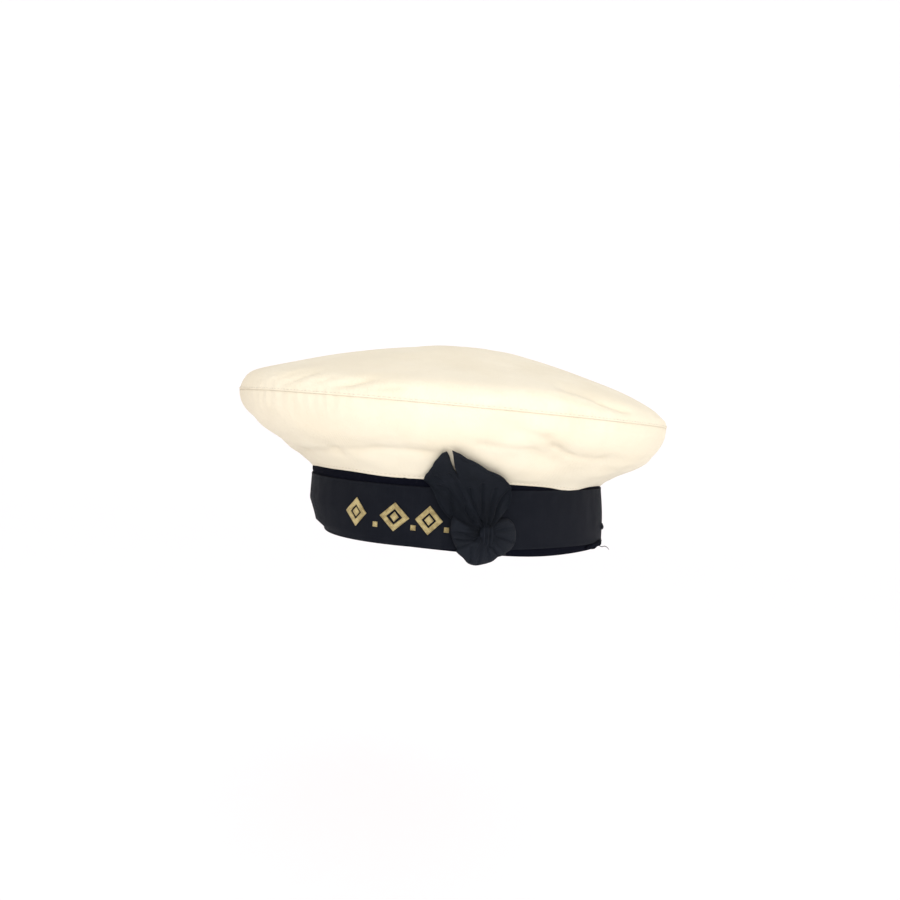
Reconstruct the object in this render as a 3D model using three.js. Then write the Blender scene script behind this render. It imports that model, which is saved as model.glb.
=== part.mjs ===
// Sailor cap: a soft white crown of a domed top and a flared side, on a dark cloth
// band that carries a silk ribbon, tied at the wearer's left in a small bow.
// Millimetres, +Z up. The origin is the middle of the head opening, in the plane of
// the rim. The wearer looks along -Y, and azimuths run from the front towards +X.
import * as THREE from 'three';
import { mergeVertices } from 'three/addons/utils/BufferGeometryUtils.js';

const { degToRad, lerp, smoothstep } = THREE.MathUtils;

// Head opening and band
const HEAD_WIDTH = 164;
const HEAD_LENGTH = 200;
const BAND_WALL = 3;
const BAND_CHAMFER = 0.8;

// Ribbon round the band, lowest in front of the wearer's right temple, where its
// lower edge hangs just under the rim. The band shows above it by BAND_REVEAL.
const RIBBON_WIDTH = 32;
const RIBBON_WALL = 1;
const RIBBON_DROP = 1.2;
const RIBBON_SLANT = 4.3;
const RIBBON_LOW_AZIMUTH = -50;
const BAND_REVEAL = 4;

// The tuck that draws the rim in against the wearer's right temple
const TUCK_DEPTH = 10;
const TUCK_AZIMUTH = -50;
const TUCK_SPREAD = 40;

// The dip of the rim in front of the wearer's left temple, below the ribbon
const DIP_DEPTH = 1.8;
const DIP_AZIMUTH = 60;
const DIP_SPREAD = 24;

// Crown, which sags a little off the head's middle, to the right and the front
const CROWN_WIDTH = 258;
const CROWN_LENGTH = 272;
const SIDE_RISE = 39.2;
const DOME_RISE = 39.2;
const CLOTH_WALL = 1.5;
const SAG_RIGHT = 6.8;
const SAG_FRONT = 4;
const FOLD_DEPTH = 3;
const FOLD_WIDTH = 11;

// Bow
const KNOT_AZIMUTH = 41.3;
const KNOT_HEIGHT = 11.5;
const KNOT_RADIUS = 5;
const KNOT_THICKNESS = 6.5;
const KNOT_RIBS = 7;
const KNOT_RIB_DEPTH = 0.7;
const TAIL_LENGTH = 55;
const TAIL_ROOT_LIFT = 3;
const TAIL_PLEAT = 1.4;
const TAIL_SETTLE = 14;
const LOOP_LENGTH = 18.5;
const LOOP_PUFF = 6;
const LOOP_PLEAT = 0.8;
const BOW_WALL = 1;
const CORNER_REACH = 9;

// Clearance between touching pieces, and the mesh steps
const GAP = 0.3;
const ROUND_STEPS = 64;
const SIDE_STEPS = 8;
const TOP_STEPS = 10;
const TAIL_STEPS = 9;
const LOOP_STEPS = 10;
const KNOT_STEPS = 28;

// The steps of the finite differences that give a surface's normal
const TURN_STEP = 0.002;
const SHARE_STEP = 0.004;
const LENGTH_STEP = 0.4;

// Height of the tuck, as a share of RIBBON_WIDTH, and how much of it is left there
const TUCK_SECTION = [
  { height: 0.00, draw: 1.00 },
  { height: 0.12, draw: 0.45 },
  { height: 0.26, draw: 0.30 },
  { height: 0.50, draw: 0.00 },
];

// Paths of the two crown panels, from where each starts to where it ends. reach and
// rise are shares of the way out and the way up between those two rings.
const SIDE_PATH = [
  { reach: 0.00, rise: 0.00 },
  { reach: 0.17, rise: 0.11 },
  { reach: 0.34, rise: 0.22 },
  { reach: 0.54, rise: 0.36 },
  { reach: 0.75, rise: 0.51 },
  { reach: 0.89, rise: 0.67 },
  { reach: 0.97, rise: 0.83 },
  { reach: 1.00, rise: 1.00 },
];
const TOP_PATH = [
  { reach: 0.00, rise: 0.00 },
  { reach: 0.01, rise: 0.14 },
  { reach: 0.03, rise: 0.24 },
  { reach: 0.07, rise: 0.32 },
  { reach: 0.165, rise: 0.425 },
  { reach: 0.33, rise: 0.60 },
  { reach: 0.50, rise: 0.755 },
  { reach: 0.67, rise: 0.875 },
  { reach: 0.83, rise: 0.96 },
  { reach: 1.00, rise: 1.00 },
];

// Shares of a panel's path over which its folds fade out towards a hem
const HEM_FADE = { start: 0.02, end: 0.12 };

// Folds of the soft panels, each along a line from one azimuth (degrees) and share
// of the panel's path to another. width and depth are shares of FOLD_WIDTH and
// FOLD_DEPTH, and a negative depth is a hollow.
const SIDE_FOLDS = [
  { fromAt: -88, from: 0.52, toAt: -44, to: 0.50, width: 1.3, depth: -0.8 },
  { fromAt: -84, from: 0.13, toAt: -46, to: 0.15, width: 0.8, depth: 0.6 },
  { fromAt: -30, from: 0.20, toAt: -8, to: 0.30, width: 0.6, depth: -0.4 },
  { fromAt: -6, from: 0.34, toAt: 22, to: 0.42, width: 0.6, depth: -0.4 },
  { fromAt: 38, from: 0.60, toAt: 58, to: 0.42, width: 0.7, depth: -0.5 },
  { fromAt: 44, from: 0.80, toAt: 56, to: 0.60, width: 0.7, depth: -0.6 },
  { fromAt: 56, from: 0.60, toAt: 74, to: 0.52, width: 0.8, depth: -0.6 },
  { fromAt: 62, from: 0.74, toAt: 84, to: 0.78, width: 1.6, depth: 0.5 },
  { fromAt: 84, from: 0.46, toAt: 122, to: 0.54, width: 1.2, depth: 0.6 },
  { fromAt: 90, from: 0.18, toAt: 122, to: 0.24, width: 1.1, depth: -0.5 },
  { fromAt: 128, from: 0.30, toAt: 166, to: 0.48, width: 1.2, depth: -0.8 },
  { fromAt: 150, from: 0.78, toAt: 186, to: 0.82, width: 1.5, depth: 0.5 },
  { fromAt: 192, from: 0.60, toAt: 226, to: 0.34, width: 1.3, depth: -0.9 },
  { fromAt: 236, from: 0.74, toAt: 264, to: 0.70, width: 1.6, depth: 0.5 },
  { fromAt: 250, from: 0.24, toAt: 286, to: 0.38, width: 1.1, depth: -0.7 },
];
const TOP_FOLDS = [
  { fromAt: -14, from: 0.07, toAt: -8, to: 0.20, width: 0.6, depth: -0.4 },
  { fromAt: 2, from: 0.06, toAt: 9, to: 0.18, width: 0.6, depth: -0.4 },
  { fromAt: 60, from: 0.26, toAt: 74, to: 0.11, width: 0.8, depth: -0.7 },
  { fromAt: 20, from: 0.50, toAt: 84, to: 0.58, width: 2.2, depth: -0.5 },
  { fromAt: 86, from: 0.20, toAt: 118, to: 0.16, width: 1.5, depth: -0.8 },
  { fromAt: 138, from: 0.16, toAt: 152, to: 0.36, width: 1.1, depth: -0.8 },
  { fromAt: 176, from: 0.50, toAt: 228, to: 0.42, width: 2.2, depth: -0.6 },
  { fromAt: 242, from: 0.12, toAt: 262, to: 0.28, width: 1.0, depth: -0.7 },
];

// Rays of the bow's pieces, fanned round the knot. root and tip are angles from the
// way to the wearer's back, and reach is a share of TAIL_LENGTH or LOOP_LENGTH.
const TAIL_RAYS = {
  left: [
    { root: 172, tip: 163, reach: 0.36 },
    { root: 165, tip: 153, reach: 0.52 },
    { root: 158, tip: 147, reach: 0.61 },
    { root: 151, tip: 141, reach: 0.77 },
    { root: 144, tip: 132, reach: 0.85 },
    { root: 137, tip: 124, reach: 0.92 },
    { root: 130, tip: 117, reach: 0.98 },
    { root: 123, tip: 112, reach: 1.05 },
  ],
  right: [
    { root: 118, tip: 109, reach: 1.04 },
    { root: 110, tip: 105, reach: 0.91 },
    { root: 101, tip: 100, reach: 0.79 },
    { root: 92, tip: 93, reach: 0.70 },
    { root: 83, tip: 87, reach: 0.68 },
    { root: 74, tip: 81, reach: 0.65 },
    { root: 65, tip: 73, reach: 0.60 },
    { root: 56, tip: 64, reach: 0.54 },
    { root: 48, tip: 54, reach: 0.40 },
  ],
};
const LOOP_RAYS = {
  right: [
    { root: 42, tip: 36, reach: 0.70 },
    { root: 32, tip: 28, reach: 0.85 },
    { root: 18, tip: 16, reach: 0.93 },
    { root: 2, tip: 1, reach: 0.98 },
    { root: -14, tip: -14, reach: 1.01 },
    { root: -28, tip: -27, reach: 0.98 },
    { root: -40, tip: -39, reach: 0.92 },
  ],
  bottom: [
    { root: -47, tip: -46, reach: 0.90 },
    { root: -60, tip: -57, reach: 0.84 },
    { root: -74, tip: -71, reach: 0.89 },
    { root: -88, tip: -86, reach: 0.93 },
    { root: -102, tip: -101, reach: 0.98 },
    { root: -116, tip: -114, reach: 0.96 },
    { root: -129, tip: -129, reach: 0.89 },
  ],
  left: [
    { root: -136, tip: -137, reach: 0.88 },
    { root: -146, tip: -149, reach: 0.91 },
    { root: -157, tip: -162, reach: 0.93 },
    { root: -168, tip: -173, reach: 0.97 },
    { root: -178, tip: -184, reach: 1.00 },
  ],
};

// Section of a folded loop, from the knot out over the front layer and back under
// it. out and lift are shares of the ray's length and of LOOP_PUFF.
const LOOP_SECTION = [
  { out: 0.00, lift: 0.74 },
  { out: 0.25, lift: 0.95 },
  { out: 0.60, lift: 1.00 },
  { out: 0.88, lift: 0.80 },
  { out: 1.00, lift: 0.45 },
  { out: 0.88, lift: 0.14 },
  { out: 0.50, lift: 0.09 },
  { out: 0.00, lift: 0.09 },
];

// Section of the gathered knot. out and lift are shares of KNOT_RADIUS and
// KNOT_THICKNESS.
const KNOT_SECTION = [
  { out: 0.00, lift: 0.00 },
  { out: 0.80, lift: 0.00 },
  { out: 1.00, lift: 0.30 },
  { out: 0.94, lift: 0.70 },
  { out: 0.60, lift: 0.95 },
  { out: 0.00, lift: 1.00 },
];

// Rings that the pieces share: the crown's neck stands on the band's outer edge
const BAND_HEIGHT = RIBBON_WIDTH + BAND_REVEAL;
const BAND_OUTER = new THREE.Vector2(HEAD_WIDTH / 2 + BAND_WALL, HEAD_LENGTH / 2 + BAND_WALL);
const RIBBON_OUTER = BAND_OUTER.clone().addScalar(GAP + RIBBON_WALL);
const CENTRED = new THREE.Vector2(0, 0);
const CROWN_SAG = new THREE.Vector2(-SAG_RIGHT, -SAG_FRONT);
const CROWN_HALF = new THREE.Vector2(CROWN_WIDTH / 2, CROWN_LENGTH / 2);
const NECK_HEIGHT = BAND_HEIGHT + GAP;
const EDGE_HEIGHT = NECK_HEIGHT + SIDE_RISE;
const SEAM_HEIGHT = EDGE_HEIGHT + GAP;

const SIDE_PANEL = {
  start: { half: BAND_OUTER, shift: CENTRED, height: NECK_HEIGHT },
  end: { half: CROWN_HALF, shift: CROWN_SAG, height: EDGE_HEIGHT },
  path: splineThrough(SIDE_PATH, 'reach', 'rise'),
  folds: SIDE_FOLDS,
  endsInHem: true,
};
const TOP_PANEL = {
  start: { half: CROWN_HALF, shift: CROWN_SAG, height: SEAM_HEIGHT },
  end: { half: CENTRED, shift: CENTRED, height: SEAM_HEIGHT + DOME_RISE },
  path: splineThrough(TOP_PATH, 'reach', 'rise'),
  folds: TOP_FOLDS,
  endsInHem: false,
};
SIDE_PANEL.length = panelLength(SIDE_PANEL);
TOP_PANEL.length = panelLength(TOP_PANEL);

// A smooth plane curve through a table's rows
function splineThrough(rows, across, up) {
  return new THREE.SplineCurve(rows.map((row) => new THREE.Vector2(row[across], row[up])));
}

// Whole steps from 0 to 1, both included
function shares(steps) {
  return Array.from({ length: steps + 1 }, (_, index) => index / steps);
}

// The azimuths of a closed ring, in radians
function roundAzimuths() {
  return Array.from({ length: ROUND_STEPS }, (_, index) => (2 * Math.PI * index) / ROUND_STEPS);
}

// A point of a level ellipse at one azimuth
function ringPoint(half, shift, azimuth, height) {
  return new THREE.Vector3(
    shift.x + half.x * Math.sin(azimuth),
    shift.y - half.y * Math.cos(azimuth),
    height,
  );
}

// The level ring of a crown panel's smooth outer face at a share of its path
function panelRing(panel, share) {
  const { x: reach, y: rise } = panel.path.getPointAt(THREE.MathUtils.clamp(share, 0, 1));
  return {
    half: panel.start.half.clone().lerp(panel.end.half, reach),
    shift: panel.start.shift.clone().lerp(panel.end.shift, reach),
    height: lerp(panel.start.height, panel.end.height, rise),
  };
}

// A point of a crown panel's smooth outer face
function panelPoint(panel, azimuth, share) {
  const { half, shift, height } = panelRing(panel, share);
  return ringPoint(half, shift, azimuth, height);
}

// The length of a panel's path, measured at the knot's azimuth
function panelLength(panel) {
  const points = shares(40).map((share) => panelPoint(panel, degToRad(KNOT_AZIMUTH), share));
  return points.slice(1).reduce((sum, point, index) => sum + point.distanceTo(points[index]), 0);
}

// The outward normal of a surface given as a function of azimuth and a second value
function surfaceNormal(surface, azimuth, value, step) {
  const across = surface(azimuth + TURN_STEP, value).sub(surface(azimuth - TURN_STEP, value));
  const along = surface(azimuth, value + step).sub(surface(azimuth, value - step));
  const normal = across.cross(along);
  return normal.lengthSq() > 0 ? normal.normalize() : new THREE.Vector3(0, 0, 1);
}

// The turn from one azimuth to another, the short way round
function turnBetween(from, to) {
  return Math.atan2(Math.sin(to - from), Math.cos(to - from));
}

// How far the folds lift a panel at one place, fading out at the panel's hems
function foldLift(panel, azimuth, share) {
  const { half } = panelRing(panel, share);
  const radius = (half.x + half.y) / 2;
  const lift = panel.folds.reduce((sum, fold) => {
    const start = degToRad(fold.fromAt);
    const run = (degToRad(fold.toAt) - start) * radius;
    const line = new THREE.Vector2(run, (fold.to - fold.from) * panel.length);
    const turn = turnBetween(start, azimuth);
    const place = new THREE.Vector2(turn * radius, (share - fold.from) * panel.length);
    const nearest = THREE.MathUtils.clamp(place.dot(line) / line.lengthSq(), 0, 1);
    const distance = place.distanceTo(line.multiplyScalar(nearest));
    return sum + fold.depth * Math.exp(-((distance / (fold.width * FOLD_WIDTH)) ** 2));
  }, 0);
  const hem = smoothstep(share, HEM_FADE.start, HEM_FADE.end);
  const farHem = panel.endsInHem ? smoothstep(1 - share, HEM_FADE.start, HEM_FADE.end) : 1;
  return lift * FOLD_DEPTH * hem * farHem;
}

// A point of a folded panel, lifted off its outer face. Hems are lifted level, so
// that the panels meet edge to edge.
function clothPoint(panel, azimuth, share, lift) {
  const smoothFace = (turn, part) => panelPoint(panel, turn, part);
  const normal = surfaceNormal(smoothFace, azimuth, share, SHARE_STEP);
  if (share === 0 || (share === 1 && panel.endsInHem)) {
    normal.setZ(0).normalize();
  }
  const total = lift + foldLift(panel, azimuth, share);
  return panelPoint(panel, azimuth, share).addScaledVector(normal, total);
}

// One closed solid between two facing grids of points. The first index runs round or
// across the piece and the second along it; a ring joins its last row to its first.
function wallSolid(outer, inner, isRing) {
  const rows = outer.length;
  const columns = outer[0].length;
  const points = [...outer.flat(), ...inner.flat()];
  const out = (i, k) => (i % rows) * columns + k;
  const back = (i, k) => rows * columns + out(i, k);
  const quads = [];
  const last = columns - 1;
  for (let i = 0; i < (isRing ? rows : rows - 1); i += 1) {
    for (let k = 0; k < last; k += 1) {
      quads.push([out(i, k), out(i + 1, k), out(i + 1, k + 1), out(i, k + 1)]);
      quads.push([back(i, k + 1), back(i + 1, k + 1), back(i + 1, k), back(i, k)]);
    }
    quads.push([out(i, 0), back(i, 0), back(i + 1, 0), out(i + 1, 0)]);
    quads.push([out(i + 1, last), back(i + 1, last), back(i, last), out(i, last)]);
  }
  if (!isRing) {
    for (let k = 0; k < last; k += 1) {
      quads.push([out(0, k), out(0, k + 1), back(0, k + 1), back(0, k)]);
      quads.push([back(rows - 1, k), back(rows - 1, k + 1), out(rows - 1, k + 1), out(rows - 1, k)]);
    }
  }
  return closedGeometry(points, quads);
}

// Triangles of the quads, with equal vertices merged and empty triangles left out
function closedGeometry(points, quads) {
  const indexed = new THREE.BufferGeometry().setFromPoints(points);
  indexed.setIndex(quads.flatMap(([a, b, c, d]) => [a, b, c, a, c, d]));
  const merged = mergeVertices(indexed, 1e-3);
  const corners = Array.from(merged.index.array);
  const kept = [];
  for (let start = 0; start < corners.length; start += 3) {
    const triangle = corners.slice(start, start + 3);
    if (new Set(triangle).size === 3) {
      kept.push(...triangle);
    }
  }
  merged.setIndex(kept);
  merged.computeVertexNormals();
  return merged;
}

// A crown panel as one wall of cloth
function panelSolid(panel, steps) {
  const grid = (lift) => roundAzimuths().map((azimuth) => (
    shares(steps).map((share) => clothPoint(panel, azimuth, share, lift))
  ));
  return wallSolid(grid(0), grid(-CLOTH_WALL), true);
}

// How much of the tuck is left at a height, straight between its table's rows
function tuckShare(height) {
  const share = Math.max(height / RIBBON_WIDTH, 0);
  const above = TUCK_SECTION.findIndex((row) => row.height > share);
  if (above < 0) {
    return 0;
  }
  const [low, high] = [TUCK_SECTION[above - 1], TUCK_SECTION[above]];
  return lerp(low.draw, high.draw, (share - low.height) / (high.height - low.height));
}

// How much is left, at an azimuth, of a change that is greatest at another one
function nearness(azimuth, middle, spread) {
  return Math.exp(-((turnBetween(degToRad(middle), azimuth) / degToRad(spread)) ** 2));
}

// A point of a ring that follows the band's outer face, so far outside it
function bandPoint(azimuth, height, outside) {
  const tuck = TUCK_DEPTH * tuckShare(height) * nearness(azimuth, TUCK_AZIMUTH, TUCK_SPREAD);
  const half = BAND_OUTER.clone().addScalar(outside - tuck);
  return ringPoint(half, CENTRED, azimuth, height);
}

// The heights at which the tuck changes its slope, above the rim
const BEND_HEIGHTS = TUCK_SECTION.slice(1).map((row) => row.height * RIBBON_WIDTH);

// The cloth band, a ring with a chamfered rim
function headBand() {
  const grid = (depth, rimDepth) => roundAzimuths().map((azimuth) => {
    const rim = -DIP_DEPTH * nearness(azimuth, DIP_AZIMUTH, DIP_SPREAD);
    const heights = [rim + BAND_CHAMFER, ...BEND_HEIGHTS, BAND_HEIGHT];
    const wall = heights.map((height) => bandPoint(azimuth, height, -depth));
    return [bandPoint(azimuth, rim, -rimDepth), ...wall];
  });
  const inner = grid(BAND_WALL, BAND_WALL - BAND_CHAMFER);
  return wallSolid(grid(0, BAND_CHAMFER), inner, true);
}

// The height of the ribbon's lower edge, which slants a little round the band
function ribbonBottom(azimuth) {
  const turn = azimuth - degToRad(RIBBON_LOW_AZIMUTH);
  return -RIBBON_DROP + (RIBBON_SLANT * (1 - Math.cos(turn))) / 2;
}

// The ribbon, a thin ring held just off the band
function tallyRibbon() {
  const grid = (outside) => roundAzimuths().map((azimuth) => {
    const bottom = ribbonBottom(azimuth);
    const heights = [bottom, ...BEND_HEIGHTS, bottom + RIBBON_WIDTH];
    return heights.map((height) => bandPoint(azimuth, height, outside));
  });
  return wallSolid(grid(GAP + RIBBON_WALL), grid(GAP), true);
}

// The surface that the bow lies on: the ribbon, a round corner, and the crown's flare.
// way is the length up that surface, and is the height as far as the ribbon goes.
function bowGround(azimuth, way) {
  const onRibbon = (height) => ringPoint(RIBBON_OUTER, CENTRED, azimuth, height);
  const onFlare = (length) => clothPoint(SIDE_PANEL, azimuth, length / SIDE_PANEL.length, 0);
  const past = way - NECK_HEIGHT;
  if (past < -CORNER_REACH) {
    return onRibbon(way);
  }
  if (past > CORNER_REACH) {
    return onFlare(past);
  }
  const bend = new THREE.QuadraticBezierCurve3(
    onRibbon(NECK_HEIGHT - CORNER_REACH),
    onRibbon(NECK_HEIGHT),
    onFlare(CORNER_REACH),
  );
  return bend.getPoint((past + CORNER_REACH) / (2 * CORNER_REACH));
}

// A place of the bow: so far along and up from the knot's middle, lifted off the cap
function bowPoint(along, up, lift) {
  const knot = degToRad(KNOT_AZIMUTH);
  const perTurn = Math.hypot(RIBBON_OUTER.x * Math.cos(knot), RIBBON_OUTER.y * Math.sin(knot));
  const azimuth = knot + along / perTurn;
  const way = KNOT_HEIGHT + up;
  const normal = surfaceNormal(bowGround, azimuth, way, LENGTH_STEP);
  return bowGround(azimuth, way).addScaledVector(normal, lift);
}

// A place on a ray of the bow, which may bend from its root angle to its tip angle
function rayPoint(ray, length, share, lift) {
  const radius = lerp(KNOT_RADIUS + GAP, ray.reach * length, share);
  const angle = degToRad(lerp(ray.root, ray.tip, share));
  return bowPoint(radius * Math.cos(angle), radius * Math.sin(angle), lift);
}

// A cut ribbon end, pleated at the knot and spread flat over the crown's flare
function bowTail(rays) {
  const grid = (wall) => rays.map((ray, index) => shares(TAIL_STEPS).map((share) => {
    const away = share * (ray.reach * TAIL_LENGTH - KNOT_RADIUS);
    const root = TAIL_ROOT_LIFT * (1 - smoothstep(away, 0, TAIL_SETTLE));
    const pleat = index % 2 ? TAIL_PLEAT * smoothstep(away, 0, TAIL_SETTLE / 2) : 0;
    return rayPoint(ray, TAIL_LENGTH, share, GAP + BOW_WALL + root + pleat - wall);
  }));
  return wallSolid(grid(0), grid(BOW_WALL), false);
}

// A ribbon loop folded back on itself, open between its two layers
function bowLoop(rays) {
  const section = splineThrough(LOOP_SECTION, 'out', 'lift');
  const grid = (wall) => rays.map((ray, index) => {
    const length = ray.reach * LOOP_LENGTH - KNOT_RADIUS - GAP;
    const pleat = index % 2 ? LOOP_PLEAT : 0;
    return shares(LOOP_STEPS).map((share) => {
      const place = section.getPointAt(share);
      const tangent = section.getTangentAt(share);
      const outside = new THREE.Vector2(-tangent.y * length, tangent.x * LOOP_PUFF).normalize();
      const out = THREE.MathUtils.clamp(place.x - (outside.x * wall) / length, 0, 1);
      const fold = pleat * smoothstep(place.y, 0.2, 1) * Math.sin(Math.PI * place.x);
      return rayPoint(ray, LOOP_LENGTH, out, place.y * LOOP_PUFF - fold - outside.y * wall);
    });
  });
  return wallSolid(grid(0), grid(BOW_WALL), false);
}

// The gathered middle of the bow, a ribbed button seated on the ribbon
function bowKnot() {
  const section = KNOT_SECTION.map(({ out, lift }) => (
    new THREE.Vector2(out * KNOT_RADIUS, lift * KNOT_THICKNESS)
  ));
  const lathe = new THREE.LatheGeometry(section, KNOT_STEPS);
  lathe.deleteAttribute('normal');
  lathe.deleteAttribute('uv');
  const button = mergeVertices(lathe, 1e-3);
  const { position } = button.attributes;
  for (let index = 0; index < position.count; index += 1) {
    const place = new THREE.Vector3().fromBufferAttribute(position, index);
    const wave = (1 - Math.cos(KNOT_RIBS * Math.atan2(place.z, place.x))) / 2;
    const drawn = 1 - (KNOT_RIB_DEPTH * wave) / KNOT_RADIUS;
    const seated = bowPoint(place.x * drawn, -place.z * drawn, GAP + place.y);
    position.setXYZ(index, seated.x, seated.y, seated.z);
  }
  return button;
}

// The finishes, as seen in daylight
const FINISHES = {
  duck: { color: '#f5f0df', roughness: 0.92, metalness: 0 },
  serge: { color: '#10131c', roughness: 0.95, metalness: 0 },
  silk: { color: '#20242d', roughness: 0.6, metalness: 0 },
};

// One named piece of the cap in its finish
function piece(name, geometry, finish) {
  const material = new THREE.MeshStandardMaterial(FINISHES[finish]);
  material.name = finish;
  const mesh = new THREE.Mesh(geometry, material);
  mesh.name = name;
  return mesh;
}

// The crown of two sewn panels
function crown() {
  const group = new THREE.Group();
  group.add(piece('crown_top', panelSolid(TOP_PANEL, TOP_STEPS), 'duck'));
  group.add(piece('crown_side', panelSolid(SIDE_PANEL, SIDE_STEPS), 'duck'));
  return group;
}

// The band and its ribbon
function bandAndRibbon() {
  const group = new THREE.Group();
  group.add(piece('head_band', headBand(), 'serge'));
  group.add(piece('tally_ribbon', tallyRibbon(), 'silk'));
  return group;
}

// The bow, with its tails, its loops and the knot that gathers them
function bow() {
  const group = new THREE.Group();
  for (const [side, rays] of Object.entries(TAIL_RAYS)) {
    group.add(piece(`bow_tail_${side}`, bowTail(rays), 'silk'));
  }
  for (const [side, rays] of Object.entries(LOOP_RAYS)) {
    group.add(piece(`bow_loop_${side}`, bowLoop(rays), 'silk'));
  }
  group.add(piece('bow_knot', bowKnot(), 'silk'));
  return group;
}

const cap = new THREE.Group();
cap.add(crown(), bandAndRibbon(), bow());

export default cap;
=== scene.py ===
"""The sailor cap, dressed: a soft white crown on a dark band, with a silk ribbon and its bow.

The cap's own frame is kept: metres, +Z up, the origin in the middle of the head opening in the
plane of the rim. The wearer looks along -Y, and azimuths run from the front towards +X. Shapes
are worked out in millimetres on numpy grids and turned into metres where a mesh is made.
"""

import logging
from collections.abc import Callable, Mapping, Sequence
from dataclasses import dataclass, field
from enum import Enum

import bmesh
import bpy
import numpy as np
from mathutils import Matrix


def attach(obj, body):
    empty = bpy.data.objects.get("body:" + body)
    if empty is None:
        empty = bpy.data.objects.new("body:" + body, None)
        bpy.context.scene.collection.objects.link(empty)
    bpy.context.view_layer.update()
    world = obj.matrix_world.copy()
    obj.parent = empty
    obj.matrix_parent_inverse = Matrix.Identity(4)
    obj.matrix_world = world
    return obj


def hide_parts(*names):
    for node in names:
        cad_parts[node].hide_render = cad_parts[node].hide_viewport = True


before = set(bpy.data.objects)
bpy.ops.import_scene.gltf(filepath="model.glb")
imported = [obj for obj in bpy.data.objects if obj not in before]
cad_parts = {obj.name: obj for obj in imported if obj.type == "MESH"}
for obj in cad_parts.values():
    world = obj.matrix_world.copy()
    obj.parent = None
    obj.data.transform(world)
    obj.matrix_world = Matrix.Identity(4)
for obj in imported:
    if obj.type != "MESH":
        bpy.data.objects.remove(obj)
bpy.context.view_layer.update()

LOG = logging.getLogger("sailor_cap")

MM = 0.001
TURN = 2 * np.pi
Grid = np.ndarray
Spread = Callable[[Grid, Grid], tuple[Grid, Grid]]


# Shapes in numbers


def smoothstep(value: Grid, low: float, high: float) -> Grid:
    """The smooth rise from 0 at low to 1 at high: 3t^2 - 2t^3, with t held between 0 and 1."""
    t = np.clip((np.asarray(value, float) - low) / (high - low), 0, 1)
    return t * t * (3 - 2 * t)


def turn_between(start: Grid | float, end: Grid | float) -> Grid:
    """The turn from one azimuth to another, the short way round."""
    return np.arctan2(np.sin(end - start), np.cos(end - start))


def hill(distance: Grid, width: float) -> Grid:
    """A smooth hill, 1 where the distance is 0: exp(-(distance / width)^2)."""
    return np.exp(-((distance / width) ** 2))


def nearness(azimuth: Grid, middle: float, spread: float) -> Grid:
    """How near azimuths in radians are to a middle: a hill, its middle and spread in degrees."""
    return hill(turn_between(np.radians(middle), azimuth), np.radians(spread))


def cells(rows: int, columns: int) -> tuple[Grid, Grid]:
    """The row and the column of each cell of a grid, one after another."""
    return tuple(part.ravel() for part in np.indices((rows, columns)))


def even_spread(across: float, along: float) -> Spread:
    """Millimetres across and along the cloth for the rows and columns of an even grid."""
    return lambda row, column: (row * across, column * along)


def unit(vectors: Grid) -> Grid:
    """Vectors brought to length 1."""
    return vectors / np.maximum(np.linalg.norm(vectors, axis=-1, keepdims=True), 1e-12)


class Spline:
    """A smooth curve through a table's rows, of any number of columns.

    Between two rows the curve is the cubic whose slopes at them are half the step between
    their neighbours, and evenly spaced shares are measured along its length.
    """

    DIVISIONS = 200

    def __init__(self, rows: Sequence[Sequence[float]]) -> None:
        """Measures the curve.

        Args:
            rows: The points that the curve passes through.
        """
        self.rows = np.asarray(rows, float)
        steps = np.linspace(0, 1, self.DIVISIONS + 1)
        run = np.linalg.norm(np.diff(self.at_step(steps), axis=0), axis=-1)
        self.steps = steps
        self.along = np.concatenate([[0], np.cumsum(run)])

    def at_step(self, step: Grid) -> Grid:
        """The curve's points at steps from 0 to 1, the rows being evenly spaced steps.

        Args:
            step: Any array of steps.

        Returns:
            The points, with the table's columns as a last axis.
        """
        last = len(self.rows) - 1
        place = np.clip(step, 0, 1) * last
        index = np.minimum(place.astype(int), last - 1)
        t = (place - index)[..., None]
        before, start, end, after = (self.rows[np.clip(index + k, 0, last)] for k in (-1, 0, 1, 2))
        leave, arrive = (end - before) / 2, (after - start) / 2
        return (
            (2 * start - 2 * end + leave + arrive) * t**3
            + (3 * end - 3 * start - 2 * leave - arrive) * t**2
            + leave * t
            + start
        )

    def at(self, share: Grid) -> Grid:
        """The curve's points at shares of its length."""
        return self.at_step(np.interp(share, self.along / self.along[-1], self.steps))


@dataclass(frozen=True)
class Ring:
    """A level ellipse, in millimetres."""

    half_x: float
    half_y: float
    shift_x: float
    shift_y: float
    height: float


def ring_point(half_x: Grid, half_y: Grid, shift_x: Grid, shift_y: Grid, azimuth: Grid, height: Grid) -> Grid:
    """Points of level ellipses: x = shift + half sin(azimuth), y = shift - half cos(azimuth).

    Args:
        half_x: Half sizes across the head.
        half_y: Half sizes along the head.
        shift_x: How far the ellipses' middles lie to the wearer's left.
        shift_y: How far the ellipses' middles lie to the back.
        azimuth: Azimuths in radians.
        height: Heights.

    Returns:
        The points, with x, y and z as a last axis.
    """
    x = shift_x + half_x * np.sin(azimuth)
    y = shift_y - half_y * np.cos(azimuth)
    return np.stack(np.broadcast_arrays(x, y, height), -1)


@dataclass(frozen=True)
class Fold:
    """A fold along a line from one azimuth (degrees) and share of a panel to another.

    Widths and depths are millimetres, and a negative depth is a hollow.
    """

    from_at: float
    start: float
    to_at: float
    end: float
    width: float
    depth: float


@dataclass(frozen=True)
class Wave:
    """A slow swell of cloth: so many rounds about the head and along the panel, and its depth."""

    rounds: int
    along: float
    phase: float
    depth: float


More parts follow.
